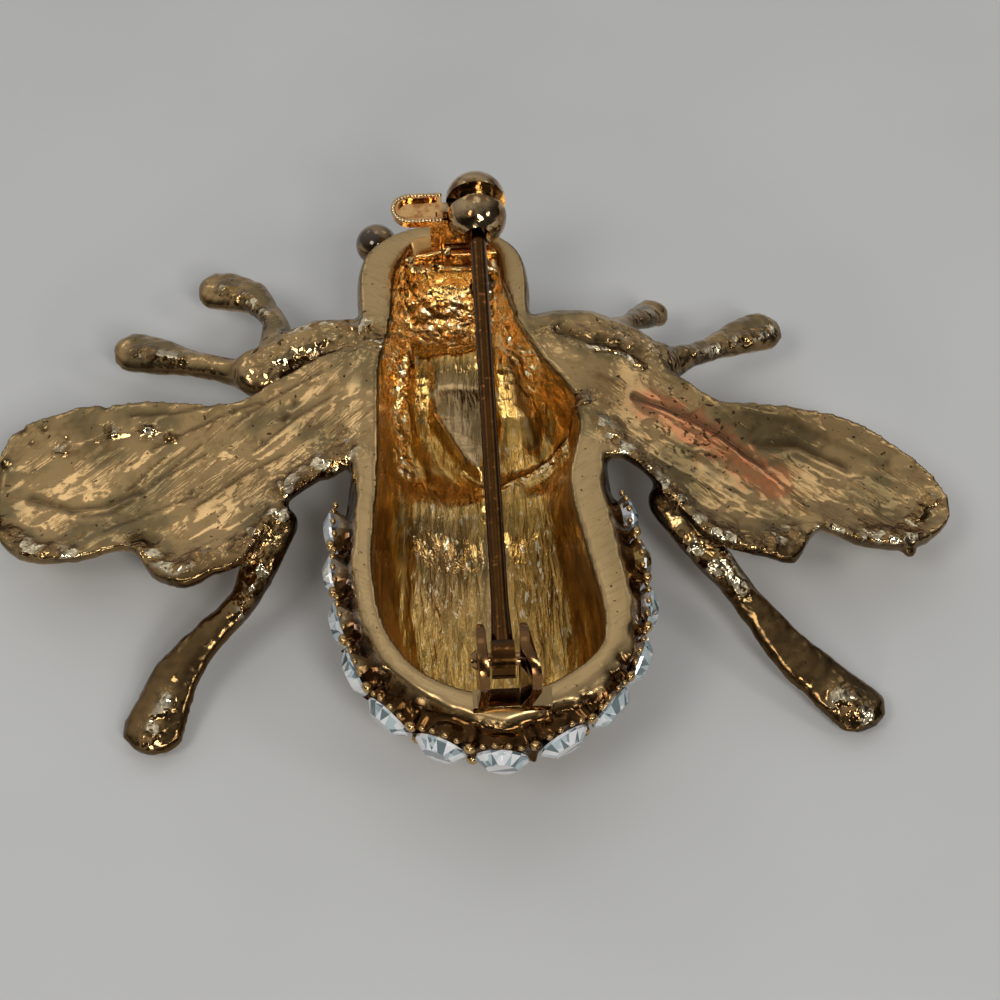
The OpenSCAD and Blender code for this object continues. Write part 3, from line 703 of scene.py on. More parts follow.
def skin_gold(metal):
    """Cast and plated gold with its rim, hollow, copper band, pits and wrinkles, and painted glints,
    light, reflections and shade.
    """
    s = Shader("cast_gold")
    s.set(Metallic=1.0)
    rim, hollow, copper, tarnish_and_shade = s.masks("tone")
    crumple, calm, brown, ripple = s.masks("form")
    open_skin = s.math("SUBTRACT", 1.0, s.math("MAXIMUM", rim, hollow))
    cloud = s.grain(0.28, 3)
    patch = s.grain(1.4, 4)
    fine = s.grain(5.0, 4)
    fold, fleck = s.cells(1.3)
    flow = s.grain(1.0, 4, s.stretched((2.6, 0.42, 1.2)), 0.6)
    drawn = s.grain(1.0, 3, s.mirrored(38, (0.35, 2.4, 0.8)), 0.8)
    scratch = s.grain(1.0, 3, s.mirrored(-35, (0.6, 4.5, 1.0)), 0.5)
    drawn_on = s.times(s.ramp(s.grain(0.45, 2), 0.44, 0.58), open_skin)

    olive = darker(metal.gold, 0.55, 0.60, 0.62)
    dull = darker(metal.gold, 0.46, 0.36, 0.26)
    gold = s.blend(s.ramp(cloud, 0.44, 0.60), metal.gold, olive)
    gold = s.blend(s.times(s.ramp(drawn, 0.58, 0.66, 0, 0.6), drawn_on), gold, dull)
    gold = s.blend(s.ramp(patch, 0.52, 0.68, 0, 0.35), gold, dull)
    flat = s.blend(s.ramp(scratch, 0.52, 0.68, 0, 0.35), metal.rim, darker(metal.rim, 0.6))
    gold = s.blend(rim, gold, flat)
    warm = s.blend(s.ramp(flow, 0.40, 0.66), metal.hollow, darker(metal.hollow, 0.5))
    gold = s.blend(hollow, gold, warm)
    # Painted reflection: the calm flats take the dull olive-tan of the room they mirror
    gold = s.blend(calm, gold, s.blend(s.ramp(flow, 0.40, 0.62), CALM_REFLECTION_GOLD, CALM_REFLECTION_BROWN))
    # Painted light: crumpled metal in the hollow made brighter
    gold = s.blend(s.times(crumple, hollow), gold, PAINTED_LIGHT_GOLD)
    # Painted shade in the creases of crumpled metal outside the hollow
    gold = s.blend(s.times(s.ramp(crumple, 0.2, 0.6, 0, 0.75), open_skin), gold, CRUMPLE_SHADE)
    # Painted glints: pale flecks on crumpled metal and pale dots on the hollow's ripples
    lit = s.math("ADD", fleck, s.times(hollow, 0.15))
    painted_glints = s.times(s.ramp(crumple, 0.3, 0.8), s.ramp(lit, 0.62, 0.67, 0, 0.95))
    gold = s.blend(painted_glints, gold, PAINTED_GLINT_GOLD)
    glint_dots = s.ramp(s.grain(1.0, 2, s.stretched((3.4, 1.4, 2.0))), 0.60, 0.64)
    gold = s.blend(s.times(ripple, hollow, glint_dots), gold, PAINTED_GLINT_GOLD)
    # Painted shade: the brown mask darkens the flank, the legs, the wing clouds and the speckled patch
    gold = s.blend(brown, gold, SHADE_BROWN)
    gold = s.blend(s.times(copper, s.ramp(patch, 0.40, 0.60, 0.6, 1.0)), gold, metal.copper)
    pocked = s.math("ADD", s.grain(2.4, 3), s.times(ripple, open_skin, 0.09))
    specks = s.times(s.ramp(pocked, 0.655, 0.70, 0, 0.9), s.math("SUBTRACT", 1.0, hollow))
    # Dark metal in pits, grooves and specks, and painted shade on steep sides
    s.set(Base_Color=s.blend(s.math("MAXIMUM", tarnish_and_shade, specks), gold, metal.tarnish_and_shade))

    rough = s.ramp(cloud, 0.3, 0.7, 0.10, 0.17)
    rough = s.math("ADD", rough, s.times(rim, 0.16))
    rough = s.math("SUBTRACT", rough, s.times(crumple, 0.05))
    s.set(Roughness=s.math("ADD", rough, s.times(tarnish_and_shade, 0.2)))
    s.bump(
        (s.times(ripple, hollow, flow), 0.9, 0.34), (s.times(flow, hollow), 0.5, 0.08),
        (s.times(fold, crumple), 1.0, 0.42), (s.times(drawn, drawn_on), 0.5, 0.12),
        (s.times(scratch, rim), 0.3, 0.05), (patch, 0.15, 0.06), (fine, 0.08, 0.02))
    return s.material


def plain_gold(name, colour, rough, wear=None, foot=None):
    """Smoother plating of the findings. wear is a share and a colour, foot the colour at the rim."""
    s = Shader(name)
    s.set(Metallic=1.0)
    tone = s.blend(s.ramp(s.grain(0.9, 3), 0.35, 0.7), colour, darker(colour, 0.7))
    if wear:
        share, worn = wear
        tone = s.blend(s.ramp(s.grain(2.4, 3), 0.62, 0.70, 0, share), tone, worn)
    if foot:
        tone = s.blend(s.ramp(s.parts(s.mm)[2], RIM_Z + 0.9, RIM_Z + 0.5), tone, foot)
    s.set(Base_Color=tone, Roughness=s.ramp(s.grain(1.8, 3), 0.3, 0.7, *rough))
    s.bump((s.grain(4.0, 3), 0.15, 0.04))
    return s.material


def glass(name, colour, index, clear, rough=0.02):
    """Cut glass over foil: each facet has a tone of its own, from dark to white, as painted reflections
    and sparkle.
    """
    s = Shader(name)
    s.set(Transmission_Weight=clear, IOR=index, Coat_Weight=1.0, Coat_Roughness=0.02)
    facet = s.add("Attribute")
    facet.attribute_name = "facet"
    _, depth = s.cells(1.5)
    # Painted reflections and sparkle: facets and cells toned from dark to white
    sparkle = s.math("ADD", s.times(depth, 0.3), s.times(facet.outputs["Fac"], 0.7))
    tone = s.blend(s.ramp(sparkle, 0.30, 0.38), darker(colour, 0.16, 0.19, 0.20), darker(colour, 0.7))
    tone = s.blend(s.ramp(sparkle, 0.48, 0.56), tone, (1.0, 1.0, 1.0))
    s.set(Base_Color=tone, Roughness=s.ramp(s.grain(1.5, 2), 0.4, 0.7, rough, rough * 2))
    return s.material


def foil(name, colour):
    """Mirror backing of a rhinestone."""
    s = Shader(name)
    tone = s.blend(s.ramp(s.grain(1.2, 2), 0.3, 0.7), colour, darker(colour, 0.8))
    s.set(Metallic=1.0, Base_Color=tone, Roughness=s.ramp(s.grain(2.0, 2), 0.3, 0.7, 0.06, 0.16))
    return s.material


def eye_bead():
    """Glossy dark amber bead with a bronze sheen."""
    s = Shader("eye_bead")
    s.set(Metallic=0.6, Coat_Weight=1.0, Coat_Roughness=0.04)
    tone = s.blend(s.ramp(s.grain(0.7, 2), 0.42, 0.58), EYE_AMBER, darker(EYE_AMBER, 0.2))
    s.set(Base_Color=tone, Roughness=s.ramp(s.grain(1.8, 3), 0.3, 0.7, 0.06, 0.16))
    s.bump((s.grain(4.0, 3), 0.10, 0.03))
    return s.material


def roller_gold():
    """Dark polished balls with a copper-gold lever."""
    s = Shader("roller_gold")
    lever = s.ramp(s.parts(s.mm)[0], -0.75, -1.05)
    ball = s.blend(s.ramp(s.grain(0.8, 3), 0.40, 0.62), BALL_GOLD, BALL_BROWN)
    warm = s.blend(s.ramp(s.grain(1.6, 3), 0.42, 0.66), LEVER_GOLD, LEVER_COPPER)
    s.set(
        Metallic=1.0, Base_Color=s.blend(lever, ball, warm),
        Roughness=s.ramp(s.grain(1.8, 3), 0.3, 0.7, 0.06, 0.15))
    s.bump((s.grain(0.9, 3), 0.5, 0.14), (s.grain(4.0, 3), 0.2, 0.03))
    return s.material


# Cast body


def cavity_depth(at):
    """Distance along X in from the open back's two sides, below 0 outside them."""
    rows = np.array(CAVITY)
    share = (at[:, 1] - CAVITY_BACK) / CAVITY_LEN
    left, right = (
        np.interp(share, rows[:, 0], rows[:, k], left=-1, right=-1) * CAVITY_HALF for k in (1, 2))
    x = at[:, 0] - MIDDLE_X
    return np.minimum(x + left, right - x)


def outline_depth(at):
    """Distance in from the outline of the open back, below 0 outside it, in millimetres."""
    left = [(MIDDLE_X - a * CAVITY_HALF, CAVITY_BACK + t * CAVITY_LEN) for t, a, _ in CAVITY]
    right = [(MIDDLE_X + b * CAVITY_HALF, CAVITY_BACK + t * CAVITY_LEN) for t, _, b in CAVITY]
    away = near_line(at, left + right[::-1] + left[1:2])
    return np.where(cavity_depth(at) > 0, away, -away)


def flank_share(at, outward):
    """Outer side of the abdomen with the stones' cups."""
    band = fade(outward, 0.9, 1.3) * (1 - fade(outward, 4.4, 5.4))
    return band * fade(0.6 - at[:, 1], 0, 1.5) * fade(RIM_Z - at[:, 2], 0.1, 0.5)


def stretches(at, facing):
    """Which stretches of the casting each point lies on, as shares from 0 to 1."""
    x, y, z = at.T
    upward = facing[:, 2]
    small = lumps(at, (1.6, 1.3, 1.6), 2, 4.7)
    depth = outline_depth(at) + 0.12 * small
    outward = -depth
    inside = fade(depth, -0.35, 0.1)
    up = fade(upward, -0.1, 0.5)
    out = fade(np.abs(x - 0.5), 8.5, 11.0)
    hollow = inside * fade(RIM_Z - z, 0.10, 0.6) * fade(upward, -0.35, 0.0)
    thorax = fade(y, 0.0, 2.5) * (1 - fade(y, 9.5, 11.5))
    left = fade(MIDDLE_X - x, 2.5, 5) * fade(-y, -1.5, 1.0)
    rim = fade(z, RIM_Z - 0.35, RIM_Z - 0.12) * fade(upward, 0.6, 0.9) * (1 - inside)
    rim *= 1 - fade(outward, 1.65 - 0.7 * left, 2.1 - 0.8 * left)
    rim *= 1 - 0.9 * thorax
    brink = fade(outward, 1.55 - 0.6 * left, 1.95 - 0.65 * left) * fade(-0.4 - y, 0, 1.5)
    brink *= 1 - fade(outward, 4.4, 5.4)
    return SimpleNamespace(
        x=x, y=y, z=z, upward=upward, small=small, outward=outward,
        up=up, out=out, hollow=hollow, left=left, rim=rim, brink=brink,
        hind=out * fade(-y, 3.6, 5.2),
        fore=out * fade(y, 8.0, 9.5),
        neck=np.maximum(np.exp(-((y - 14.2) / 1.9) ** 2), ridges(at, NECK_FOLDS)) * hollow,
        panel=within(at, PANEL) * hollow * (1 - fade(y, 9.0, 11.8)),
        flank=np.maximum(flank_share(at, outward), brink),
        shoulder=ridges(at, SHOULDERS),
        crisp=ridges(at, CRISP) * up)


def relief_rise(at, on, settings):
    """How far each point rises, in millimetres, and how dark its grooves and pits are."""
    turn = math.radians(32)
    across = np.abs(on.x) * math.sin(turn) + on.y * math.cos(turn)
    along = np.abs(on.x) * math.cos(turn) - on.y * math.sin(turn)
    flow = lumps(at, (0.95, 0.20, 0.55), 3, 11.3)
    combed = lumps(np.stack([along, across, on.z], axis=1), (0.16, 1.1, 0.3), 2, 1.9)
    broad = lumps(at, (0.35, 0.35, 0.35), 2, 7.9)
    legs = on.hind + on.fore
    crumpled = on.neck * 1.1 + legs * 0.22 + on.shoulder * 0.6
    rise = settings.wrinkle / MM * flow * on.hollow
    rise += settings.crumple / MM * on.small * crumpled
    rise += 0.10 * broad * (1 - on.rim) * (0.5 + 0.5 * on.out)
    rise += 0.055 * combed * (1 - on.rim) * (1 - on.hollow) * (1 - legs) * fade(on.out, 0, 0.5)
    dark = np.zeros(len(at))
    for height, *row in STROKES:
        near = ridge(at, *row) * on.up
        rise += height * near
        if height < 0:
            dark = np.maximum(dark, near * 0.75)
    for *place, size in PITS:
        near = ellipse(at, *place, size, size) * on.up
        rise -= PIT_DEPTH * near
        dark = np.maximum(dark, near)
    rise *= 1 - 0.93 * on.rim * (np.abs(rise) < 0.25)
    return np.clip(rise, -MOST_RISE, MOST_RISE), dark


def paint(piece, name, *masks):
    """Writes four masks on a piece's points."""
    layer = piece.data.color_attributes.new(name, "FLOAT_COLOR", "POINT")
    layer.data.foreach_set("color", np.clip(np.stack(masks, axis=1), 0, 1).ravel())


def paint_skin(piece, at, moved, on, dark):
    """Paints the skin's masks: rim, hollow, copper, tarnish with painted shade, then crumple, calm,
    brown, ripple.
    """
    copper = fade(ridge(moved, *COPPER_BAND) * on.up + 0.35 * on.small, 0.15, 0.7)
    # Painted shade on sides that do not face up
    shaded_sides = fade(on.upward, -0.5, 0.0) * (1 - fade(on.upward, 0.55, 0.93)) * (1 - on.hollow)
    paint(piece, "tone", on.rim, on.hollow, copper, np.maximum(dark, 0.62 * shaded_sides))

    # Painted dark reflections on the wings
    cloud = highest(*(share * ellipse(at, *place) for *place, share in DARK_REFLECTION_CLOUDS))
    cloud *= (1 - on.hollow) * (1 - on.rim)
    # Painted shade on the hind legs, a little on the front legs, away from the crumpled edges
    shaded_legs = (0.72 * on.hind + 0.05 * on.fore) * (1 - on.crisp)
    strip = np.exp(-(on.x - 0.9) ** 2) * fade(on.y, -11, -8) * fade(-on.y, 0.5, 2.5) * on.hollow
    wrinkled = ellipse(at, *WRINKLED) * on.hollow
    speckled = ellipse(at, *SPECKLED) * on.hollow
    rippled = highest(wrinkled, speckled, ellipse(at, *PITTED), 0.25 * on.hollow)
    # Form masks: crumple, which also carries painted glints, light and shade; calm, a painted
    # reflection; brown, painted shade; ripple
    paint(
        piece, "form",
        highest(on.neck * 1.2, on.shoulder * 0.45, on.crisp),
        highest(on.panel, strip * 0.75, wrinkled * 0.75),
        highest(on.flank, shaded_legs, cloud, 0.30 * speckled),
        rippled * (1 - on.panel))


def relief(piece, settings):
    """Works the wrinkles, ridges, dents and pits into the skin and paints its masks."""
    at, facing = points_of(piece)
    on = stretches(at, facing)
    rise, dark = relief_rise(at, on, settings)
    moved = at + facing * rise[:, None]
    moved[:, 2] += (PANEL_Z - moved[:, 2]) * on.panel
    moved[:, 2] -= 0.35 * on.brink * fade(on.z, 6.4, 7.2) * (1 - fade(on.outward, 2.8, 3.4))
    notch = on.left * fade(on.outward, 0.95, 1.7) * (1 - fade(on.outward, 2.4, 3.4))
    moved[:, 2] -= 0.9 * notch * fade(on.z, 5, 7)
    low, high = np.array(CAD_BOX) / MM
    place_points(piece, np.clip(moved, low + BOX_GAP, high - BOX_GAP))
    paint_skin(piece, at, moved, on, dark)


def soften(skin):
    """Smooths the skin's steps, most of all at the cups and where the wings meet the thorax."""
    at, _ = points_of(skin)
    outward = -outline_depth(at)
    seam = fade(outward, 0.5, 1.2) * (1 - fade(outward, 4.5, 6.5)) * fade(at[:, 2], 4.5, 6)
    seam *= fade(at[:, 1], 1.0, 2.5) * (1 - fade(at[:, 1], 9.0, 10.5))
    for name, shares in (("cups", flank_share(at, outward)), ("seam", seam)):
        group = skin.vertex_groups.new(name=name)
        for k in np.flatnonzero(shares > 0.02):
            group.add([int(k)], float(shares[k]), "REPLACE")
    for group, rounds in (("", 3), ("cups", 12), ("seam", 60)):
        shaped(skin, "SMOOTH", factor=0.5, iterations=rounds, vertex_group=group)


class BROOCH_OT_casting(bpy.types.Operator):
    """Cast skin of body, wings and legs with its wrinkles and pits"""

    bl_idname = "brooch.casting"
    bl_label = "Cast skin"

    def execute(self, context):
        settings = context.scene.brooch_relief
        skin = copy_of_node("casting", "casting_skin")
        trim(skin, (0, 0, RIM_Z + 0.02), (0, 0, 1))
        shaped(skin, "REMESH", mode="VOXEL", voxel_size=settings.skin_step, adaptivity=0)
        soften(skin)
        relief(skin, settings)
        triangles = sum(len(p.vertices) - 2 for p in skin.data.polygons)
        shaped(skin, "DECIMATE", ratio=SKIN_TRIANGLES / triangles)
        drop_crumbs(skin)
        bpy.ops.object.shade_smooth()
        skin.data.materials.append(skin_gold(context.scene.brooch_metal))
        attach(skin, "brooch")
        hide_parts("casting")
        return {"FINISHED"}


def part_of_casting(name, edge, *cuts):
    """A copy of the casting with all cut away but one of its findings, its edges rounded."""
    piece = copy_of_node("casting", name)
    for at, normal in cuts:
        trim(piece, at, normal)
    merge_flat(piece)
    bevel(piece, edge, 35)
    return piece


def block(name, low, high, edge):
    """A bevelled block between two corners, in millimetres."""
    middle = [(a + b) / 2 * MM for a, b in zip(low, high)]
    size = [(b - a) * MM for a, b in zip(low, high)]
    bpy.ops.mesh.primitive_cube_add(size=1, location=middle, scale=size)
    piece = named(name)
    freeze(piece)
    bevel(piece, edge)
    return piece


def hinge_bracket():
    """The hinge's two ears, slimmer towards the pin and bent to the right behind the rivet."""
    hinge = part_of_casting(
        "hinge_metal", 0.19, ((0, 0, RIM_Z + 0.01), (0, 0, -1)), ((0, -12, 0), (0, 1, 0)))
    at, _ = points_of(hinge)
    ear = fade(at[:, 2], RIM_Z + 0.5, RIM_Z + 0.8)
    slim = 1 - 0.55 * fade(at[:, 1] - RIVET_Y, 0.5, 1.85) * ear
    middle = MIDDLE_X + EAR_X * np.sign(at[:, 0] - MIDDLE_X)
    at[:, 0] = middle + (at[:, 0] - middle) * slim
    lean = np.where(at[:, 0] > MIDDLE_X, 0.55, 0.12) * fade(RIVET_Y - at[:, 1], 0.4, 1.6)
    at[:, 0] += lean * ear
    place_points(hinge, at)
    return hinge


def catch_cradle():
    """The catch's strip, with its web, step, plate and flare in the head."""
    strip = part_of_casting(
        "strip_part", 0.10, ((0, 0, RIM_Z + 0.3), (0, 0, -1)),
        ((0, CATCH_Y - 0.6, 0), (0, -1, 0)), ((0, CATCH_Y + 0.6, 0), (0, 1, 0)),
        ((2.0, 0, 0), (1, 0, 0)))
    low = RIM_Z - 0.85
    web = block("web_part", (-1.5, CATCH_Y - 0.42, low), (-0.75, CATCH_Y + 0.42, RIM_Z + 0.9), 0.12)
    step = block("step_part", (-0.5, CATCH_Y - 0.9, low), (2.5, CATCH_Y + 0.6, RIM_Z - 0.1), 0.10)
    plate = block("plate_part", (-2.7, CATCH_Y - 1.7, low), (2.6, CATCH_Y + 0.3, RIM_Z - 0.42), 0.12)
    flare = block("flare_part", (-2.9, CATCH_Y - 1.1, low), (-0.9, CATCH_Y + 0.5, RIM_Z - 0.02), 0.20)
    at, _ = points_of(flare)
    at[:, 2] += 0.35 * fade(at[:, 0], -2.6, -0.9) * fade(at[:, 2], low, RIM_Z)
    at[:, 0] += 0.25 * fade(at[:, 1], CATCH_Y, CATCH_Y - 1.1) * fade(-at[:, 0], 1.5, 2.5)
    place_points(flare, at)
    return join([strip, web, step, plate, flare], "cradle_metal")


class BROOCH_OT_findings(bpy.types.Operator):
    """Hinge bracket on the tail and the catch's plate and strip in the head"""

    bl_idname = "brooch.findings"
    bl_label = "Hinge bracket and catch cradle"

    def execute(self, context):
        metal = context.scene.brooch_metal
        bronze = plain_gold(
            "hinge_bronze", HINGE_BRONZE, (0.10, 0.24), (0.7, HINGE_WEAR), darker(metal.rim, 0.75))
        brass = plain_gold("cradle_gold", CRADLE_GOLD, (0.14, 0.28), (0.5, metal.copper))
        for piece, finish in ((hinge_bracket(), bronze), (catch_cradle(), brass)):
            smooth(piece, 35)
            piece.data.materials.append(finish)
            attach(piece, "brooch")
            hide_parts("casting")
        return {"FINISHED"}


# Stones


def stone_nodes():
    """The stones' CAD nodes in order round the abdomen."""
    return sorted(n for n in frame["nodes"] if n.startswith("stone_"))


def stone_seat(node):
    """Middle of a CAD stone's table and the direction it faces."""
    mesh = frame["nodes"][node].data
    faces = [(Vector(p.normal), p.area, Vector(p.center)) for p in mesh.polygons]
    best, axis, table = 0.0, None, None
    for normal, _, _ in faces:
        same = [f for f in faces if f[0].dot(normal) > 0.9999]
        area = sum(f[1] for f in same)
        if area > best:
            best, axis = area, normal.copy()
            table = sum((f[2] * f[1] for f in same), Vector()) / area
    return table, axis.normalized()


def renumber(piece):
    """Numbers corners and facets by place, because an extrusion numbers them anew in each run."""
    skew = Vector(STONE_SKEW)
    points = sorted(piece.data.vertices, key=lambda v: v.co.dot(skew))
    number = {v.index: k for k, v in enumerate(points)}
    rows = []
    for face in sorted(piece.data.polygons, key=lambda f: f.center.dot(skew)):
        corners = [number[k] for k in face.vertices]
        first = corners.index(min(corners))
        rows.append(corners[first:] + corners[:first])
    mesh = bpy.data.meshes.new(piece.name)
    mesh.from_pydata([v.co for v in points], [], rows)
    piece.data = mesh


def cut_stone():
    """A round stone with its table up at the origin."""
    bpy.ops.mesh.primitive_cylinder_add(
        vertices=STONE_SIDES, radius=STONE_RADIUS * MM, depth=STONE_GIRDLE * MM,
        location=(0, 0, -(STONE_CROWN + STONE_GIRDLE / 2) * MM))
    stone = named("stone_master")
    freeze(stone)
    half_side = math.pi / STONE_SIDES
    with editing(stone, None):
        bpy.ops.mesh.select_mode(type="FACE")
        for side, rise, share in ((1, STONE_CROWN, STONE_TABLE), (-1, -STONE_POINT, STONE_TIP)):
            bpy.ops.mesh.select_all(action="DESELECT")
            bpy.ops.object.mode_set(mode="OBJECT")
            for face in stone.data.polygons:
                face.select = face.normal.z * side > 0.9
            bpy.ops.object.mode_set(mode="EDIT")
            bpy.ops.mesh.extrude_region_move(TRANSFORM_OT_translate={"value": (0, 0, rise * MM)})
            bpy.ops.transform.resize(value=(share, share, 1), center_override=(0, 0, 0))
            bpy.ops.transform.rotate(value=half_side, orient_axis="Z", center_override=(0, 0, 0))
        bpy.ops.mesh.select_all(action="SELECT")
        bpy.ops.mesh.quads_convert_to_tris(quad_method="SHORTEST_DIAGONAL")
        bpy.ops.mesh.normals_make_consistent(inside=False)
    renumber(stone)
    return stone


class BROOCH_OT_stones(bpy.types.Operator):
    """Thirteen foil-backed stones round the abdomen"""

    bl_idname = "brooch.stones"
    bl_label = "Stones"

    def execute(self, context):
        settings = context.scene.brooch_stones
        clear = glass("clear_glass", settings.clear, settings.index, 0.22)
        silver = foil("silver_foil", SILVER_FOIL)
        amber = glass("amber_glass", settings.amber, settings.index, 0.5, 0.05)
        brown = foil("amber_foil", AMBER_FOIL)
        master = cut_stone()
        rolls = np.random.default_rng(13)
        for node in stone_nodes():
            table, axis = stone_seat(node)
            stone = turned_copy(master, table, axis)
            stone.name = stone.data.name = "cut_" + node
            topaz = node == "stone_12"
            stone.data.materials.append(amber if topaz else clear)
            stone.data.materials.append(brown if topaz else silver)
            for face in stone.data.polygons:
                face.material_index = int(face.normal.dot(axis) < -0.2)
            # Painted sparkle: a random tone for each facet, dimmer for the stones in shade
            sparkle_tones = stone.data.attributes.new("facet", "FLOAT", "FACE")
            shine = SHADE_SHINE if table.x > SHADE_X * MM else 1.0
            sparkle_tones.data.foreach_set("value", shine * rolls.random(len(stone.data.polygons)))
            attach(stone, "brooch")
            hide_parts(node)
        bpy.data.objects.remove(master)
        return {"FINISHED"}


# Beads


def bead_row(name, rounds, rows):
    """One piece of beads flattened along their axes, from rows of place, axis and size."""
    bpy.ops.mesh.primitive_ico_sphere_add(subdivisions=rounds, radius=1)
    bead = named("bead_master")
    beads = [
        turned_copy(bead, at, axis, (size * MM, size * MM, size * 0.8 * MM))
        for at, axis, size in rows]
    bpy.data.objects.remove(bead)
    return join(beads, name)


def claw_rows(seats):
    """Two claws between each stone and the next."""
    for (a, axis_a), (b, axis_b) in zip(seats[:-1], seats[1:]):
        axis = (axis_a + axis_b).normalized()
        up = axis.cross((b - a).normalized()).normalized()
        up = up if up.z > 0 else -up
        for side in (-1, 1):
            yield (a + b) / 2 - axis * CLAW_DROP * MM + up * side * CLAW_SIDE * MM, axis, CLAW_SIZE


def cup_rows(seats):
    """Beads along the upper edge of each stone's cup."""
    for table, axis in seats:
        up = (Vector((0, 0, 1)) - axis * axis.z).normalized()
        along = axis.cross(up)
        for turn in map(math.radians, CUP_TURNS):
            out = up * math.cos(turn) + along * math.sin(turn)
            yield table - axis * CUP_DROP * MM + out * CUP_OUT * MM, axis, CUP_BEAD


def lever_edge(share):
    """A place on the thumb lever's edge, from its root round its end and back, in metres."""
    straight = LEVER_X[0] - LEVER_X[1] - LEVER_HALF
    bend = math.pi * LEVER_HALF
    end = LEVER_X[0] - straight
    walk = share * (2 * straight + bend)
    if walk < straight:
        x, y = LEVER_X[0] - walk, LEVER_HALF
    elif walk < straight + bend:
        turn = (walk - straight) / LEVER_HALF
        x, y = end - LEVER_HALF * math.sin(turn), LEVER_HALF * math.cos(turn)
    else:
        x, y = end + walk - straight - bend, -LEVER_HALF
    return Vector((x, CATCH_Y + y, LEVER_TOP)) * MM


class BROOCH_OT_claws(bpy.types.Operator):
    """Gold claws between the stones and the beaded edge of their cups"""

    bl_idname = "brooch.claws"
    bl_label = "Claws and beaded cups"

    def execute(self, context):
        seats = [stone_seat(n) for n in stone_nodes()]
        claws = bead_row("claw_beads", 2, [*claw_rows(seats), *cup_rows(seats)])
        smooth(claws, 60)
        claws.data.materials.append(plain_gold("claw_gold", CLAW_GOLD, (0.08, 0.18)))
        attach(claws, "brooch")
        return {"FINISHED"}


# Eyes, pin and roller keep their CAD shapes, and the rivet's edges are rounded


def finish_node(node, material):
    """Gives a CAD node a material of its own."""
    for slot in frame["nodes"][node].material_slots:
        slot.link = "OBJECT"
        slot.material = material


class BROOCH_OT_hardware(bpy.types.Operator):
    """Eyes, pin, rivet and roller in their own finishes"""

    bl_idname = "brooch.hardware"
    bl_label = "Eyes, pin, rivet and roller"

    def execute(self, context):
        bead = eye_bead()
        bronze = plain_gold(
            "pin_bronze", context.scene.brooch_metal.pin, (0.12, 0.26), (0.9, PIN_WEAR))
        finish_node("eye_left", bead)
        finish_node("eye_right", bead)
        finish_node("pin_stem", bronze)
        finish_node("catch_roller", roller_gold())

        rivet = copy_of_node("hinge_rivet", "rivet_metal")
        merge_flat(rivet)
        bevel(rivet, 0.14, 40)
        smooth(rivet)
        rivet.data.materials.append(plain_gold("rivet_bronze", RIVET_BRONZE, (0.10, 0.2)))
        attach(rivet, "brooch")
        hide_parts("hinge_rivet")

        shares = [k / (LEVER_BEADS - 1) for k in range(LEVER_BEADS)]
        edge = bead_row(
            "lever_beads", 1, [(lever_edge(t), Vector((0, 0, 1)), LEVER_BEAD) for t in shares])
        smooth(edge, 180)
        edge.data.materials.append(plain_gold("lever_gold", LEVER_EDGE, (0.06, 0.14)))
        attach(edge, "roller")
        return {"FINISHED"}


# Studio


def aimed(name, data, azimuth, elevation, distance):
    """Places a light or camera at a distance round the target, aimed at it. Angles are in radians."""
    back = Vector((
        math.sin(azimuth) * math.cos(elevation),
        -math.cos(azimuth) * math.cos(elevation),
        math.sin(elevation)))
    thing = bpy.data.objects.new(name, data)
    thing.location = Vector(TARGET) * MM + back * distance
    thing.rotation_mode = "QUATERNION"
    thing.rotation_quaternion = back.to_track_quat("Z", "Y")
    bpy.context.collection.objects.link(thing)
    return thing


def softbox(name, azimuth, elevation, distance, size, power, warmth):
    """A square light aimed at the brooch, redder as its warmth goes from 0 to 1."""
    data = bpy.data.lights.new(name, "AREA")
    data.shape = "SQUARE"
    data.size = size
    data.energy = power
    data.color = (1.0, 1.0 - 0.12 * warmth, 1.0 - 0.28 * warmth)
    aimed(name, data, math.radians(azimuth), math.radians(elevation), distance)


def pale_room(strength):
    """A room that is brighter towards one side."""
    world = bpy.data.worlds.new("room")
    world.use_nodes = True
    nodes = world.node_tree.nodes
    links = world.node_tree.links
    sky = nodes["Background"]
    sky.inputs["Strength"].default_value = strength
    facing = nodes.new("ShaderNodeTexCoord")
    towards = nodes.new("ShaderNodeVectorMath")
    towards.operation = "DOT_PRODUCT"
    towards.inputs[1].default_value = ROOM_BRIGHT
    spread = nodes.new("ShaderNodeValToRGB")
    for end, (position, tone) in zip(spread.color_ramp.elements, ROOM_TONES):
        end.position = position
        end.color = tone
    links.new(facing.outputs["Generated"], towards.inputs[0])
    links.new(towards.outputs["Value"], spread.inputs["Fac"])
    links.new(spread.outputs["Color"], sky.inputs["Color"])
    return world


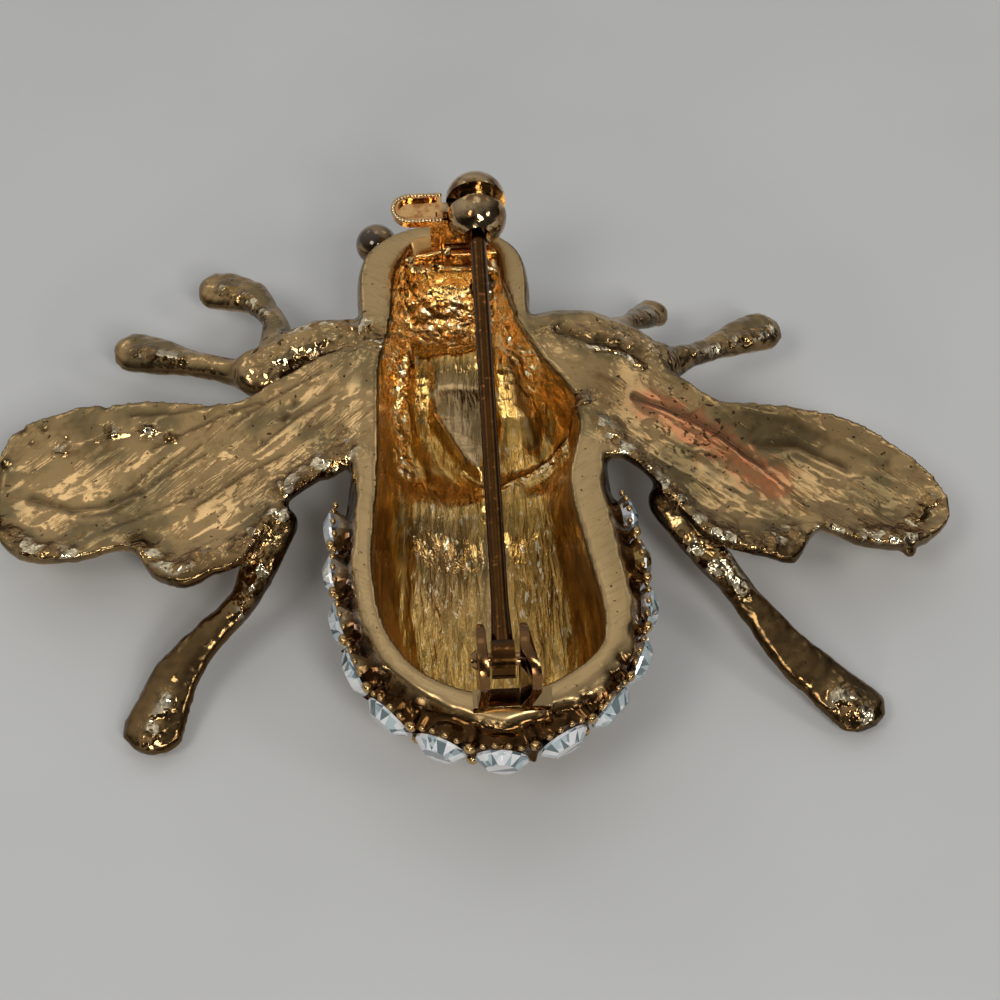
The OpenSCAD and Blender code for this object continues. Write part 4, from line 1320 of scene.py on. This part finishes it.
class BROOCH_OT_stage(bpy.types.Operator):
    """Pale floor, soft studio light and the camera"""

    bl_idname = "brooch.stage"
    bl_label = "Studio"

    def execute(self, context):
        settings = context.scene.brooch_stage
        clear_selection()
        bpy.ops.mesh.primitive_plane_add(
            size=FLOOR_WIDTH, location=(0, 0, CAD_BOX[0][2] - FLOOR_GAP * MM))
        floor = named("floor")
        freeze(floor)
        pale = Shader("pale_floor")
        clouds = pale.ramp(pale.grain(0.05, 2), 0.3, 0.7)
        pale.set(
            Roughness=0.85,
            Base_Color=pale.blend(clouds, settings.floor, darker(settings.floor, 0.96)))
        floor.data.materials.append(pale.material)

        context.scene.world = pale_room(settings.room)
        context.scene.view_settings.view_transform = "Standard"
        for row in LIGHTS:
            softbox(*row)
        view = bpy.data.cameras.new("camera")
        view.sensor_width = SENSOR
        view.lens = LENS
        view.clip_start = 0.005
        view.clip_end = 5
        context.scene.camera = aimed(
            "camera", view, settings.azimuth, settings.elevation, settings.distance)
        return {"FINISHED"}


class BROOCH_PT_panel(bpy.types.Panel):
    """Steps and settings of the brooch"""

    bl_idname = "BROOCH_PT_panel"
    bl_label = "Brooch"
    bl_space_type = "VIEW_3D"
    bl_region_type = "UI"
    bl_category = "Brooch"

    def draw(self, context):
        for step in STEPS:
            self.layout.operator(step.bl_idname)
        for group in ("brooch_metal", "brooch_relief", "brooch_stones", "brooch_stage"):
            settings = getattr(context.scene, group)
            box = self.layout.box()
            for name in settings.__annotations__:
                box.prop(settings, name)


STEPS = (
    BROOCH_OT_stage,
    BROOCH_OT_casting,
    BROOCH_OT_findings,
    BROOCH_OT_stones,
    BROOCH_OT_claws,
    BROOCH_OT_hardware,
)
GROUPS = {
    "brooch_metal": BroochMetal,
    "brooch_relief": BroochRelief,
    "brooch_stones": BroochStones,
    "brooch_stage": BroochStage,
}


def register():
    for cls in (*GROUPS.values(), *STEPS, BROOCH_PT_panel):
        bpy.utils.register_class(cls)
    for name, group in GROUPS.items():
        setattr(bpy.types.Scene, name, bpy.props.PointerProperty(type=group))


def unregister():
    for name in GROUPS:
        delattr(bpy.types.Scene, name)
    for cls in (BROOCH_PT_panel, *reversed(STEPS), *reversed(GROUPS.values())):
        bpy.utils.unregister_class(cls)


def main():
    register()
    bpy.ops.brooch.stage()
    bpy.ops.brooch.casting()
    bpy.ops.brooch.findings()
    bpy.ops.brooch.stones()
    bpy.ops.brooch.claws()
    bpy.ops.brooch.hardware()


if __name__ == "__main__":
    main()
